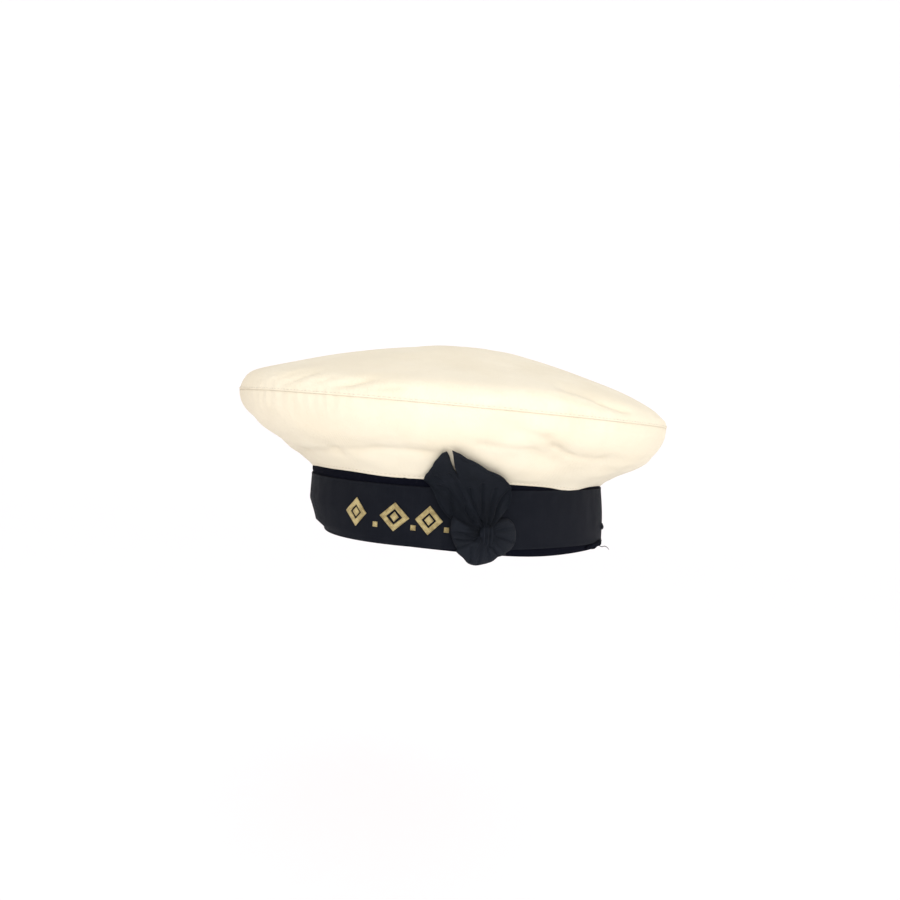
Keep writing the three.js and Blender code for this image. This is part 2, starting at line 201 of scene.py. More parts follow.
@dataclass(frozen=True)
class Ripple:
    """A small wave: so many rounds a turn, its phase, its height, and its turn over the cloth's width."""

    rounds: int
    phase: float
    height: float
    slant: float = 0.0

    def at(self, azimuth: Grid, share: Grid | float = 0.0) -> Grid:
        """Its lift in millimetres: height sin(rounds azimuth + slant share + phase)."""
        return self.height * np.sin(self.rounds * azimuth + self.slant * share + self.phase)


@dataclass(frozen=True)
class Swag:
    """A stretch of hem that hangs lower, or higher where its drop in millimetres is negative.

    Its middle and spread are degrees.
    """

    middle: float
    spread: float
    drop: float


@dataclass
class Panel:
    """A panel of the crown, carried from a starting ring to an end ring by a path.

    The path's reach and rise are shares of the way out and the way up between the two rings.
    """

    start: Ring
    end: Ring
    path: Spline
    folds: Sequence[Fold]
    creases: Sequence[Fold]
    waves: Sequence[Wave]
    seam_at_start: bool
    length: float = field(init=False)

    KNOT_AZIMUTH = 41.3
    HEM_FADE = (0.02, 0.12)
    MEASURES = 41

    def __post_init__(self) -> None:
        """Measures the path at the bow's azimuth."""
        azimuth = np.radians(self.KNOT_AZIMUTH)
        points = self.smooth(np.full(self.MEASURES, azimuth), np.linspace(0, 1, self.MEASURES))
        self.length = float(np.linalg.norm(np.diff(points, axis=0), axis=-1).sum())

    def ring(self, share: Grid) -> tuple[Grid, Grid, Grid, Grid, Grid]:
        """The rings' half sizes, shifts and heights at shares of the path."""
        reach, rise = np.moveaxis(self.path.at(np.clip(share, 0, 1)), -1, 0)
        low, high = self.start, self.end
        return (
            low.half_x + (high.half_x - low.half_x) * reach,
            low.half_y + (high.half_y - low.half_y) * reach,
            low.shift_x + (high.shift_x - low.shift_x) * reach,
            low.shift_y + (high.shift_y - low.shift_y) * reach,
            low.height + (high.height - low.height) * rise,
        )

    def smooth(self, azimuth: Grid, share: Grid) -> Grid:
        """Points of the panel's smooth outer face."""
        half_x, half_y, shift_x, shift_y, height = self.ring(share)
        return ring_point(half_x, half_y, shift_x, shift_y, azimuth, height)

    def normal(self, azimuth: Grid, share: Grid) -> Grid:
        """The outward directions of the smooth face, from the steps across and along it."""
        turn, step = 0.002, 0.004
        across = self.smooth(azimuth + turn, share) - self.smooth(azimuth - turn, share)
        along = self.smooth(azimuth, share + step) - self.smooth(azimuth, share - step)
        normal = np.cross(across, along)
        flat = np.linalg.norm(normal, axis=-1) < 1e-6
        normal[flat] = (0, 0, 1)
        level = share == 0 if self.seam_at_start else (share == 0) | (share == 1)
        level = np.broadcast_to(level, normal.shape[:-1])
        normal[level, 2] = 0
        return unit(normal)

    def lift_of(self, folds: Sequence[Fold], azimuth: Grid, share: Grid) -> Grid:
        """How far folds lift the panel: each one's depth times exp(-(distance / width)^2).

        Args:
            folds: The folds.
            azimuth: Azimuths in radians.
            share: Shares of the path.

        Returns:
            The lift in millimetres.
        """
        half_x, half_y, *_ = self.ring(share)
        radius = (half_x + half_y) / 2
        lift = np.zeros(np.broadcast(azimuth, share).shape)
        for fold in folds:
            start = np.radians(fold.from_at)
            run = (np.radians(fold.to_at) - start) * radius
            rise = (fold.end - fold.start) * self.length
            x = turn_between(start, azimuth) * radius
            y = (share - fold.start) * self.length
            nearest = np.clip((x * run + y * rise) / (run * run + rise * rise), 0, 1)
            distance = np.hypot(x - run * nearest, y - rise * nearest)
            lift += fold.depth * hill(distance, fold.width)
        return lift

    def swell(self, azimuth: Grid, share: Grid) -> Grid:
        """The slow swells: depth sin(rounds azimuth + phase) cos(along share + phase)."""
        lift = np.zeros(np.broadcast(azimuth, share).shape)
        for wave in self.waves:
            turning = np.sin(wave.rounds * azimuth + wave.phase)
            lift += wave.depth * turning * np.cos(wave.along * np.pi * share + 1.7 * wave.phase)
        return lift

    def fade(self, share: Grid) -> Grid:
        """The share of the folds that is left near the hems."""
        fade = smoothstep(share, *self.HEM_FADE)
        return fade if self.seam_at_start else fade * smoothstep(1 - share, *self.HEM_FADE)

    def relief(self, azimuth: Grid, share: Grid, kept: Grid | float = 1.0) -> tuple[Grid, Grid]:
        """How far the folds, creases and swells lift the panel.

        Args:
            azimuth: Azimuths in radians.
            share: Shares of the path.
            kept: The share of the creases and swells that is left at each place.

        Returns:
            The lift in millimetres, and the creases' part of it.
        """
        fade = self.fade(share)
        creased = self.lift_of(self.creases, azimuth, share) * fade * kept
        swell = self.swell(azimuth, share) * fade * kept
        return self.lift_of(self.folds, azimuth, share) * fade + creased + swell, creased

    def cad_face(self, azimuth: Grid, share: Grid) -> Grid:
        """Points of the folded outer face of the plain solid, on which the bow is laid."""
        lift = self.lift_of(self.folds, azimuth, share) * self.fade(share)
        return self.smooth(azimuth, share) + self.normal(azimuth, share) * lift[..., None]


# Meshes


class Maker:
    """Turns grids of points into closed meshes and objects that ride with the cap."""

    # Points closer than this many metres are one
    WELD = 1e-7

    def __init__(self, body: str) -> None:
        """Keeps the body that every piece rides on.

        Args:
            body: The body's name.
        """
        self.body = body

    @staticmethod
    def shell_quads(rows: int, columns: int, ring: bool, pole: bool) -> tuple[Grid, Grid]:
        """The quads of a closed wall between two facing grids.

        The outer grid's quads come first, then the inner grid's the other way round, then the
        strips along the grid's edges. A ring joins its last row to its first. A pole has no
        strip along its last column, because each grid closes there in one point.

        Args:
            rows: Rows of each grid.
            columns: Columns of each grid.
            ring: Whether the rows close round.
            pole: Whether the last column is one point.

        Returns:
            The quads' corners, and each corner's unwrapped row and column.
        """
        last = columns - 1
        steps = np.arange(rows if ring else rows - 1)
        i, k = cells(len(steps), last)

        def corner(row: Grid, column: Grid, inner: int) -> Grid:
            return np.stack([row, np.broadcast_to(column, row.shape), np.full(row.shape, inner)], -1)

        def strip(row: Grid, next_row: Grid, column: int) -> list[Grid]:
            start = [corner(row, column, 0), corner(row, column, 1)]
            return start + [corner(next_row, column, 1), corner(next_row, column, 0)]

        quads = [
            [corner(i, k, 0), corner(i + 1, k, 0), corner(i + 1, k + 1, 0), corner(i, k + 1, 0)],
            [corner(i, k + 1, 1), corner(i + 1, k + 1, 1), corner(i + 1, k, 1), corner(i, k, 1)],
            strip(steps, steps + 1, 0),
        ]
        if not pole:
            quads.append(strip(steps + 1, steps, last))
        if not ring:
            run = np.arange(last)
            for row, layers in ((0, (0, 0, 1, 1)), (rows - 1, (1, 1, 0, 0))):
                line = np.full_like(run, row)
                quads.append([corner(line, run + step, layer) for step, layer in zip((0, 1, 1, 0), layers)])
        places = np.concatenate([np.stack(four, 1) for four in quads])
        indices = places[..., 2] * rows * columns + (places[..., 0] % rows) * columns + places[..., 1]
        return indices, places[..., :2]

    def shell(
        self,
        name: str,
        outer: Grid,
        inner: Grid,
        ring: bool = False,
        pole: bool = False,
        spread: Spread | None = None,
        wear_and_light: Grid | None = None,
    ) -> bpy.types.Object:
        """Makes a closed wall between two facing grids of points.

        Args:
            name: The piece's name.
            outer: The outer face's points, in millimetres.
            inner: The inner face's points, in millimetres.
            ring: Whether the rows close round.
            pole: Whether the last column is one point.
            spread: Gives millimetres across and along the cloth for a corner's row and column.
            wear_and_light: How much wear, painted shade and painted highlight each point of the grids
                carries, from 0 to 1.

        Returns:
            The piece.
        """
        rows, columns = outer.shape[:2]
        indices, places = self.shell_quads(rows, columns, ring, pole)
        points = np.concatenate([outer.reshape(-1, 3), inner.reshape(-1, 3)])
        uv = None
        if spread is not None:
            across, along = spread(places[..., 0], places[..., 1])
            uv = np.stack([across, along], -1) * MM
        both = None if wear_and_light is None else np.concatenate([wear_and_light.ravel(), wear_and_light.ravel()])
        return self.piece(name, points, indices, uv, both)

    def tube(self, name: str, sections: Grid, closed: bool) -> bpy.types.Object:
        """Makes a profile carried along a path into a piece.

        Args:
            name: The piece's name.
            sections: Points in millimetres, first along the path and then round the profile.
            closed: Whether the path closes; otherwise each end is capped.

        Returns:
            The piece.
        """
        rows, columns = sections.shape[:2]
        i, k = cells(rows if closed else rows - 1, columns)
        ahead, beside = (i + 1) % rows, (k + 1) % columns
        quads = np.stack([i, ahead, ahead, i], 1) * columns + np.stack([k, k, beside, beside], 1)
        faces = quads.tolist()
        if not closed:
            faces.append(list(range(columns)))
            faces.append([(rows - 1) * columns + step for step in range(columns - 1, -1, -1)])
        return self.piece(name, sections.reshape(-1, 3), faces, None, None)

    def beads(
        self, name: str, middles: Grid, along: Grid, up: Grid, size: tuple[float, float, float],
    ) -> bpy.types.Object:
        """Makes a row of small rounded stitches as one piece.

        Each is an ellipsoid, a ball stretched along the seam, across it and off the cloth.

        Args:
            name: The piece's name.
            middles: The stitches' middles, in millimetres.
            along: The seam's direction at each stitch.
            up: The cloth's outward direction at each stitch.
            size: Half the length, width and height of a stitch.

        Returns:
            The piece.
        """
        turns, belts = 6, 5
        tilt = np.linspace(0, np.pi, belts)[:, None]
        turn = np.linspace(0, TURN, turns, endpoint=False)[None, :]
        rings = (np.cos(tilt), np.sin(tilt) * np.cos(turn), np.sin(tilt) * np.sin(turn))
        ball = np.stack(np.broadcast_arrays(*rings), -1).reshape(-1, 3) * size
        side = unit(np.cross(up, along))
        axes = np.stack([unit(along), side, unit(up)], 1)
        points = middles[:, None] + np.einsum("pj,njk->npk", ball, axes)
        i, k = cells(belts - 1, turns)
        belt, next_belt, beside = i * turns, (i + 1) * turns, (k + 1) % turns
        quad = np.stack([belt + k, next_belt + k, next_belt + beside, belt + beside], 1)
        quads = (quad[None] + (np.arange(len(middles)) * belts * turns)[:, None, None]).reshape(-1, 4)
        return self.piece(name, points.reshape(-1, 3), quads, None, None)

    def piece(
        self, name: str, points: Grid, faces: Grid | list, uv: Grid | None, wear_and_light: Grid | None,
    ) -> bpy.types.Object:
        """Makes a mesh object of points and faces, closed, smooth and facing outwards.

        Args:
            name: The piece's name.
            points: The points, in millimetres.
            faces: The faces' corners.
            uv: Metres across and along the cloth for each corner of each quad.
            wear_and_light: How much wear, painted shade and painted highlight each point carries.

        Returns:
            The piece, which rides on the body.
        """
        mesh = bpy.data.meshes.new(name)
        mesh.from_pydata((points * MM).tolist(), [], faces if isinstance(faces, list) else faces.tolist())
        if uv is not None:
            layer = mesh.uv_layers.new(name="cloth")
            layer.uv.foreach_set("vector", uv.reshape(-1).astype(np.float32))
        if wear_and_light is not None:
            mesh.attributes.new("wear_and_light", "FLOAT", "POINT").data.foreach_set("value", wear_and_light.astype(np.float32))
        made = bmesh.new()
        made.from_mesh(mesh)
        bmesh.ops.remove_doubles(made, verts=made.verts, dist=self.WELD)
        bmesh.ops.recalc_face_normals(made, faces=made.faces)
        if made.calc_volume(signed=True) < 0:
            bmesh.ops.reverse_faces(made, faces=made.faces)
        made.to_mesh(mesh)
        made.free()
        mesh.shade_smooth()
        mesh.validate()
        obj = bpy.data.objects.new(name, mesh)
        bpy.context.scene.collection.objects.link(obj)
        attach(obj, self.body)
        return obj


# Finishes


class Value:
    """A number that changes over a surface, read from a node's output."""

    def __init__(self, book: "NodeBook", output: bpy.types.NodeSocket) -> None:
        """Keeps the output.

        Args:
            book: The material being written.
            output: The node's output.
        """
        self.book = book
        self.output = output

    def __add__(self, other: "Value | float") -> "Value":
        """The sum."""
        return self.book.math("ADD", self, other)

    def __radd__(self, other: float) -> "Value":
        """The sum, with the number first."""
        return self.book.math("ADD", other, self)

    def __sub__(self, other: "Value | float") -> "Value":
        """The difference."""
        return self.book.math("SUBTRACT", self, other)

    def __mul__(self, other: "Value | float") -> "Value":
        """The product."""
        return self.book.math("MULTIPLY", self, other)

    def sine(self) -> "Value":
        """The sine."""
        return self.book.math("SINE", self)

    def size(self) -> "Value":
        """The size without its sign."""
        return self.book.math("ABSOLUTE", self)

    def between(self, low: float, high: float) -> "Value":
        """The smooth rise from 0 where the number is low to 1 where it is high."""
        settings = {"interpolation_type": "SMOOTHSTEP", "clamp": True}
        sockets = {"Value": self, "From Min": low, "From Max": high}
        return self.book.value("ShaderNodeMapRange", settings, sockets, "Result")


class Cloth(Enum):
    """Where a finish takes its threads from: the piece's own cloth map, or its place."""

    MAP = "map"
    PLACE = "place"


class NodeBook:
    """Writes the nodes of one material."""

    def __init__(self, name: str) -> None:
        """Starts an empty material.

        Args:
            name: The material's name.
        """
        self.material = bpy.data.materials.new(name)
        self.material.use_nodes = True
        self.tree = self.material.node_tree
        self.tree.nodes.clear()

    def node(
        self, kind: str, settings: Mapping[str, object], sockets: Mapping[str | int, object],
    ) -> bpy.types.Node:
        """Adds a node.

        Args:
            kind: The node's type.
            settings: Its own settings, which are set first.
            sockets: The values or links of its inputs, by name or number.

        Returns:
            The node.
        """
        node = self.tree.nodes.new(kind)
        for name, setting in settings.items():
            setattr(node, name, setting)
        for name, given in sockets.items():
            if isinstance(given, Value):
                self.tree.links.new(given.output, node.inputs[name])
            elif isinstance(given, bpy.types.NodeSocket):
                self.tree.links.new(given, node.inputs[name])
            else:
                node.inputs[name].default_value = given
        return node

    def value(
        self,
        kind: str,
        settings: Mapping[str, object],
        sockets: Mapping[str | int, object],
        output: str | int,
    ) -> Value:
        """Adds a node and reads one of its outputs as a number."""
        return Value(self, self.node(kind, settings, sockets).outputs[output])

    def math(self, operation: str, *terms: Value | float) -> Value:
        """Adds a Math node."""
        return self.value("ShaderNodeMath", {"operation": operation}, dict(enumerate(terms)), 0)

    def coordinates(self, cloth: Cloth) -> bpy.types.NodeSocket:
        """The place on the cloth, in metres, from the piece's map or its own place."""
        if cloth is Cloth.MAP:
            return self.node("ShaderNodeUVMap", {"uv_map": "cloth"}, {}).outputs["UV"]
        return self.node("ShaderNodeTexCoord", {}, {}).outputs["Object"]

    def place(self) -> bpy.types.NodeSocket:
        """The place on the piece, in metres."""
        return self.coordinates(Cloth.PLACE)

    def axes(self, vector: bpy.types.NodeSocket) -> tuple[Value, Value, Value]:
        """A vector's three numbers."""
        split = self.node("ShaderNodeSeparateXYZ", {}, {0: vector})
        return tuple(Value(self, split.outputs[axis]) for axis in "XYZ")

    def noise(
        self, vector: bpy.types.NodeSocket, scale: float, detail: float = 3.0, rough: float = 0.55,
    ) -> Value:
        """Cloudy noise of so many clouds a metre, about 0.5 in the middle."""
        sockets = {"Vector": vector, "Scale": scale, "Detail": detail, "Roughness": rough}
        return self.value("ShaderNodeTexNoise", {}, sockets, 0)

    def stretched(
        self, vector: bpy.types.NodeSocket, scale: tuple[float, float, float],
    ) -> bpy.types.NodeSocket:
        """A vector scaled along each axis."""
        sockets = {"Vector": vector, "Scale": scale}
        return self.node("ShaderNodeMapping", {"vector_type": "POINT"}, sockets).outputs[0]

    def mix(self, factor: Value, first: object, second: object) -> bpy.types.NodeSocket:
        """The blend of two colours."""
        made = self.node("ShaderNodeMix", {"data_type": "RGBA"}, {0: factor})
        for name, given in ((6, first), (7, second)):
            if isinstance(given, bpy.types.NodeSocket):
                self.tree.links.new(given, made.inputs[name])
            else:
                made.inputs[name].default_value = (*given, 1)
        return made.outputs[2]

    def weave(self, vector: bpy.types.NodeSocket, pitch: float) -> Value:
        """The crossings of a plain weave: sin(x / pitch) sin(y / pitch), from -1 to 1."""
        across, along, _ = self.axes(vector)
        return (across * (np.pi / pitch)).sine() * (along * (np.pi / pitch)).sine()

    def bump(self, height: Value, distance: float) -> bpy.types.NodeSocket:
        """The normal of a relief so many metres deep."""
        return self.node("ShaderNodeBump", {}, {"Height": height, "Distance": distance}).outputs[0]

    def surface(self, sockets: Mapping[str | int, object]) -> bpy.types.Material:
        """Ends the material in one surface shader."""
        shader = self.node("ShaderNodeBsdfPrincipled", {}, sockets)
        self.node("ShaderNodeOutputMaterial", {}, {"Surface": shader.outputs[0]})
        return self.material


@dataclass(frozen=True)
class DuckCloth:
    """Washed cotton duck: cream, a little uneven, with greyer and browner painted shade where the pieces mark
    it.
    """

    name: str
    cloth: Cloth
    colour: tuple[float, float, float] = (0.800, 0.728, 0.565)
    pale: tuple[float, float, float] = (0.830, 0.765, 0.610)
    stain: tuple[float, float, float] = (0.735, 0.630, 0.430)
    painted_shade: tuple[float, float, float] = (0.620, 0.530, 0.385)
    pitch: float = 0.00055
    relief: float = 0.00028

    def material(self) -> bpy.types.Material:
        """Writes the material."""
        book = NodeBook(self.name)
        threads, place = book.coordinates(self.cloth), book.place()
        cloud = book.noise(place, 22.0, 4.0).between(0.35, 0.68)
        blotch = book.noise(place, 9.0, 5.0, 0.62).between(0.56, 0.78)
        speck = book.noise(place, 420.0, 2.0).between(0.62, 0.78)
        wear_and_light = book.value("ShaderNodeAttribute", {"attribute_name": "wear_and_light"}, {}, "Fac")
        colour = book.mix(cloud, self.colour, self.pale)
        colour = book.mix(blotch * 0.42, colour, self.stain)
        colour = book.mix(speck * 0.16, colour, self.stain)
        # Painted shade: creases, the neck, the wearer's right and the seam lines are mixed towards the darker
        # shade colour
        colour = book.mix(wear_and_light * 0.75, colour, self.painted_shade)
        slub = book.noise(book.stretched(threads, (1.0, 9.0, 1.0)), 260.0, 2.0)
        slub = slub + book.noise(book.stretched(threads, (9.0, 1.0, 1.0)), 260.0, 2.0)
        wrinkle = book.noise(place, 95.0, 4.0, 0.6) + book.noise(place, 34.0, 3.0, 0.5) * 3.0
        height = book.weave(threads, self.pitch) * 0.22 + slub * 0.5 + wrinkle * 1.8
        return book.surface(
            {
                "Base Color": colour,
                "Roughness": 0.82 + cloud * 0.12,
                "Specular IOR Level": 0.18,
                "Sheen Weight": 0.12,
                "Sheen Roughness": 0.5,
                "Normal": book.bump(height, self.relief),
            }
        )


@dataclass(frozen=True)
class Serge:
    """Dark wool serge: nearly black, fuzzy, with a fine slanting rib and a little lint."""

    name: str
    colour: tuple[float, float, float] = (0.0042, 0.0048, 0.0095)
    lint: tuple[float, float, float] = (0.030, 0.030, 0.036)
    cloth: Cloth = Cloth.MAP
    pitch: float = 0.0007
    relief: float = 0.0002

    def material(self) -> bpy.types.Material:
        """Writes the material."""
        book = NodeBook(self.name)
        threads, place = book.coordinates(self.cloth), book.place()
        across, along, _ = book.axes(threads)
        rib = ((across + along) * (TURN / self.pitch)).sine()
        fuzz = book.noise(place, 900.0, 3.0)
        lint = book.noise(place, 330.0, 2.0).between(0.66, 0.80)
        colour = book.mix(lint * 0.5, self.colour, self.lint)
        return book.surface(
            {
                "Base Color": colour,
                "Roughness": 0.86 + fuzz * 0.1,
                "Specular IOR Level": 0.03,
                "Normal": book.bump(rib * 0.5 + fuzz * 1.2, self.relief),
            }
        )


@dataclass(frozen=True)
class RibbedSilk:
    """Old ribbon silk: blue-black, fine ribs across it, a dull sheen, rubbed places and painted highlights
    where the pieces mark them.
    """

    name: str
    colour: tuple[float, float, float] = (0.0075, 0.0090, 0.0130)
    rubbed_and_highlit: tuple[float, float, float] = (0.0150, 0.0165, 0.0210)
    shine: float = 0.10
    pitch: float = 0.00045
    relief: float = 0.00009

    def material(self) -> bpy.types.Material:
        """Writes the material."""
        book = NodeBook(self.name)
        threads, place = book.coordinates(Cloth.MAP), book.place()
        across, along, _ = book.axes(threads)
        rib = (across * (TURN / self.pitch)).sine()
        weft = (along * (TURN / (self.pitch * 0.6))).sine()
        cloud = book.noise(place, 60.0, 4.0, 0.6).between(0.42, 0.72)
        streak = book.noise(book.stretched(threads, (14.0, 1.0, 1.0)), 90.0, 3.0).between(0.45, 0.75)
        wear_and_light = book.value("ShaderNodeAttribute", {"attribute_name": "wear_and_light"}, {}, "Fac")
        # Painted highlight: raised rolls and ribs that the pieces mark are mixed towards the lighter colour,
        # as are rubbed places
        colour = book.mix(cloud * 0.5 + streak * 0.25 + wear_and_light * 0.6, self.colour, self.rubbed_and_highlit)
        height = rib + weft * 0.3 + book.noise(place, 240.0, 3.0) * 2.0
        return book.surface(
            {
                "Base Color": colour,
                "Roughness": 0.62 + cloud * 0.14,
                "Specular IOR Level": self.shine,
                "Normal": book.bump(height, self.relief),
            }
        )


@dataclass(frozen=True)
class GoldThread:
    """Woven metal thread: dull gold with paler floats, laid in close slanting rows."""

    name: str
    dark: tuple[float, float, float] = (0.230, 0.160, 0.055)
    bright: tuple[float, float, float] = (0.720, 0.610, 0.300)
    pitch: float = 0.0009
    relief: float = 0.0002

    def material(self) -> bpy.types.Material:
        """Writes the material."""
        book = NodeBook(self.name)
        x, y, z = book.axes(book.place())
        run = (x * 0.75 + y * 0.66) * (np.pi / self.pitch)
        rise = z * (np.pi / self.pitch)
        floats = (run + rise).sine().size() * (run - rise).sine().size()
        shade = book.noise(book.place(), 380.0, 3.0).between(0.34, 0.66)
        colour = book.mix(floats * 0.55 + shade * 0.45, self.dark, self.bright)
        return book.surface(
            {
                "Base Color": colour,
                "Metallic": 0.35,
                "Roughness": 0.42 + shade * 0.2,
                "Normal": book.bump(floats * 1.5 + shade * 0.5, self.relief),
            }
        )


@dataclass(frozen=True)
class Thread:
    """Sewing thread, twisted and matt."""

    name: str
    colour: tuple[float, float, float]

    def material(self) -> bpy.types.Material:
        """Writes the material."""
        book = NodeBook(self.name)
        twist = book.noise(book.place(), 1500.0, 2.0)
        darker = tuple(0.6 * part for part in self.colour)
        return book.surface(
            {
                "Base Color": book.mix(twist, darker, self.colour),
                "Roughness": 0.8,
                "Specular IOR Level": 0.15,
                "Normal": book.bump(twist, 0.00015),
            }
        )


@dataclass(frozen=True)
class PaleGround:
    """The studio's pale paper floor and backdrop."""

    name: str
    colour: tuple[float, float, float] = (0.62, 0.605, 0.61)
    glow: float = 0.42

    def material(self) -> bpy.types.Material:
        """Writes the material."""
        book = NodeBook(self.name)
        return book.surface(
            {
                "Base Color": (*self.colour, 1),
                "Roughness": 0.95,
                "Specular IOR Level": 0.1,
                "Emission Color": (1.0, 0.985, 0.99, 1),
                "Emission Strength": self.glow,
            }
        )


def dress(obj: bpy.types.Object, material: bpy.types.Material, slot: str, *nodes: str) -> bpy.types.Object:
    """Gives a piece its finish, and hides the plain solids that it stands for.

    Args:
        obj: The piece.
        material: Its finish.
        slot: Not used.
        nodes: The plain solids that the piece replaces.

    Returns:
        The piece.
    """
    obj.data.materials.clear()
    obj.data.materials.append(material)
    if nodes:
        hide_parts(*nodes)
    return obj


# The cap


@dataclass(frozen=True)
class StitchRow:
    """A row of stitches round the crown: how many, how far off the cloth, and half a stitch's size."""

    name: str
    on_top: bool
    count: int
    off: float
    size: tuple[float, float, float]


@dataclass
class Crown:
    """The soft white cover: a domed top and a flared side, sewn together at the crown's edge.

    Sizes are millimetres, azimuths and spreads are degrees, and shares are of a panel's path. A
    painted shade or a darkening is how far a place is painted towards the darker colour, from 0 to 1.
    """

    maker: Maker
    half: tuple[float, float] = (129.0, 136.0)
    sag: tuple[float, float] = (-6.8, -4.0)
    neck: tuple[float, float] = (85.0, 103.0)
    neck_height: float = 36.3
    edge_height: float = 75.5
    gap: float = 0.3
    dome_rise: float = 39.2
    wall: float = 0.9
    rounds: int = 480
    side_steps: int = 84
    top_steps: int = 96
    pucker_pitch: float = 8.6
    pucker_depth: float = 0.34
    pucker_reach: float = 10.0
    pucker_slant: float = 0.05
    pucker_uneven: float = 0.38
    groove_depth: float = 0.20
    groove_width: float = 0.8
    roll_height: float = 0.26
    needle_depth: float = 0.13
    needle_width: float = 0.5
    join_depth: float = 0.22
    join_width: float = 0.8
    ridge_height: float = 0.10
    ridge_width: float = 1.6
    ridge_off: float = 2.4
    hem_drop: float = 0.3
    lip_out: float = 0.7
    drawn_in: float = 2.2
    drawn_azimuth: float = 106.0
    drawn_spread: float = 34.38
    drawn_share: float = 0.16
    lip_share: float = 0.05
    droop_share: float = 0.13
    stitch_row: float = 2.6
    lip_stitch_share: float = 0.045
    # Painted shade towards the wearer's right: its strength, middle, spread, and reach up the top
    flank_shade: float = 0.68
    flank_shade_azimuth: float = -66.0
    flank_shade_spread: float = 34.38
    flank_shade_share: float = 0.3
    crease_depth: float = 1.2
    # Painted shade in the creases, darker lines at the seam and the stitch row, and painted shade at the neck
    fold_painted_light: float = 0.35
    seam_darkening: float = 0.22
    seam_darkening_width: float = 0.9
    needle_darkening: float = 0.16
    needle_darkening_width: float = 0.6
    neck_shade: float = 0.3

    # Where the top's small forms die away towards its middle
    CROWN_FADE = (0.70, 0.98)
    # The joins at the front and the back, in degrees
    JOINS = (13.5, 193.5)
    EDGE_STITCHES = StitchRow("edge_stitches", True, 300, 0.05, (0.95, 0.17, 0.13))
    LIP_STITCHES = StitchRow("lip_stitches", False, 210, 0.04, (0.85, 0.16, 0.12))
    HEM_SWAGS = (Swag(77, 9.17, 2.7), Swag(76, 35.52, -1.4), Swag(-45, 20.05, 0.9))
    PUCKER_DRIFT = (Ripple(7, 0.0, 1.6), Ripple(17, 1.0, 0.9))
    PUCKER_BEATS = (Ripple(5, 0.7, 1.0), Ripple(11, 2.0, 1.0))
    HEM_RIPPLES = (Ripple(6, 1.0, 0.25), Ripple(13, 0.0, 0.15))
    SIDE_PATH = (
        (0.00, 0.00), (0.17, 0.11), (0.34, 0.22), (0.54, 0.36), (0.75, 0.51), (0.89, 0.67), (0.97, 0.83),
        (1.00, 1.00),
    )
    TOP_PATH = (
        (0.00, 0.00), (0.01, 0.14), (0.03, 0.24), (0.07, 0.32), (0.165, 0.425), (0.33, 0.60), (0.50, 0.755),
        (0.67, 0.875), (0.83, 0.96), (1.00, 1.00),
    )
    SIDE_FOLDS = (
        Fold(-88, 0.52, -44, 0.50, 14.3, -2.4),
        Fold(-84, 0.13, -46, 0.15, 8.8, 0.9),
        Fold(-30, 0.20, -8, 0.30, 6.6, -1.2),
        Fold(-6, 0.34, 22, 0.42, 6.6, -1.2),
        Fold(38, 0.60, 58, 0.42, 7.7, -1.5),
        Fold(44, 0.80, 56, 0.60, 7.7, -1.8),
        Fold(56, 0.60, 74, 0.52, 8.8, -1.8),
        Fold(62, 0.74, 84, 0.78, 17.6, 1.5),
        Fold(84, 0.46, 122, 0.54, 13.2, 1.8),
        Fold(90, 0.18, 122, 0.24, 12.1, -1.5),
        Fold(128, 0.30, 166, 0.48, 13.2, -2.4),
        Fold(150, 0.78, 186, 0.82, 16.5, 1.5),
        Fold(192, 0.60, 226, 0.34, 14.3, -2.7),
        Fold(236, 0.74, 264, 0.70, 17.6, 1.5),
        Fold(250, 0.24, 286, 0.38, 12.1, -2.1),
    )
    TOP_FOLDS = (
        Fold(-14, 0.07, -8, 0.20, 6.6, -1.2),
        Fold(2, 0.06, 9, 0.18, 6.6, -1.2),
        Fold(60, 0.26, 74, 0.11, 8.8, -2.1),
        Fold(20, 0.50, 84, 0.58, 24.2, -1.5),
        Fold(86, 0.20, 118, 0.16, 16.5, -2.4),
        Fold(138, 0.16, 152, 0.36, 12.1, -2.4),
        Fold(176, 0.50, 228, 0.42, 24.2, -1.8),
        Fold(242, 0.12, 262, 0.28, 11.0, -2.1),
    )
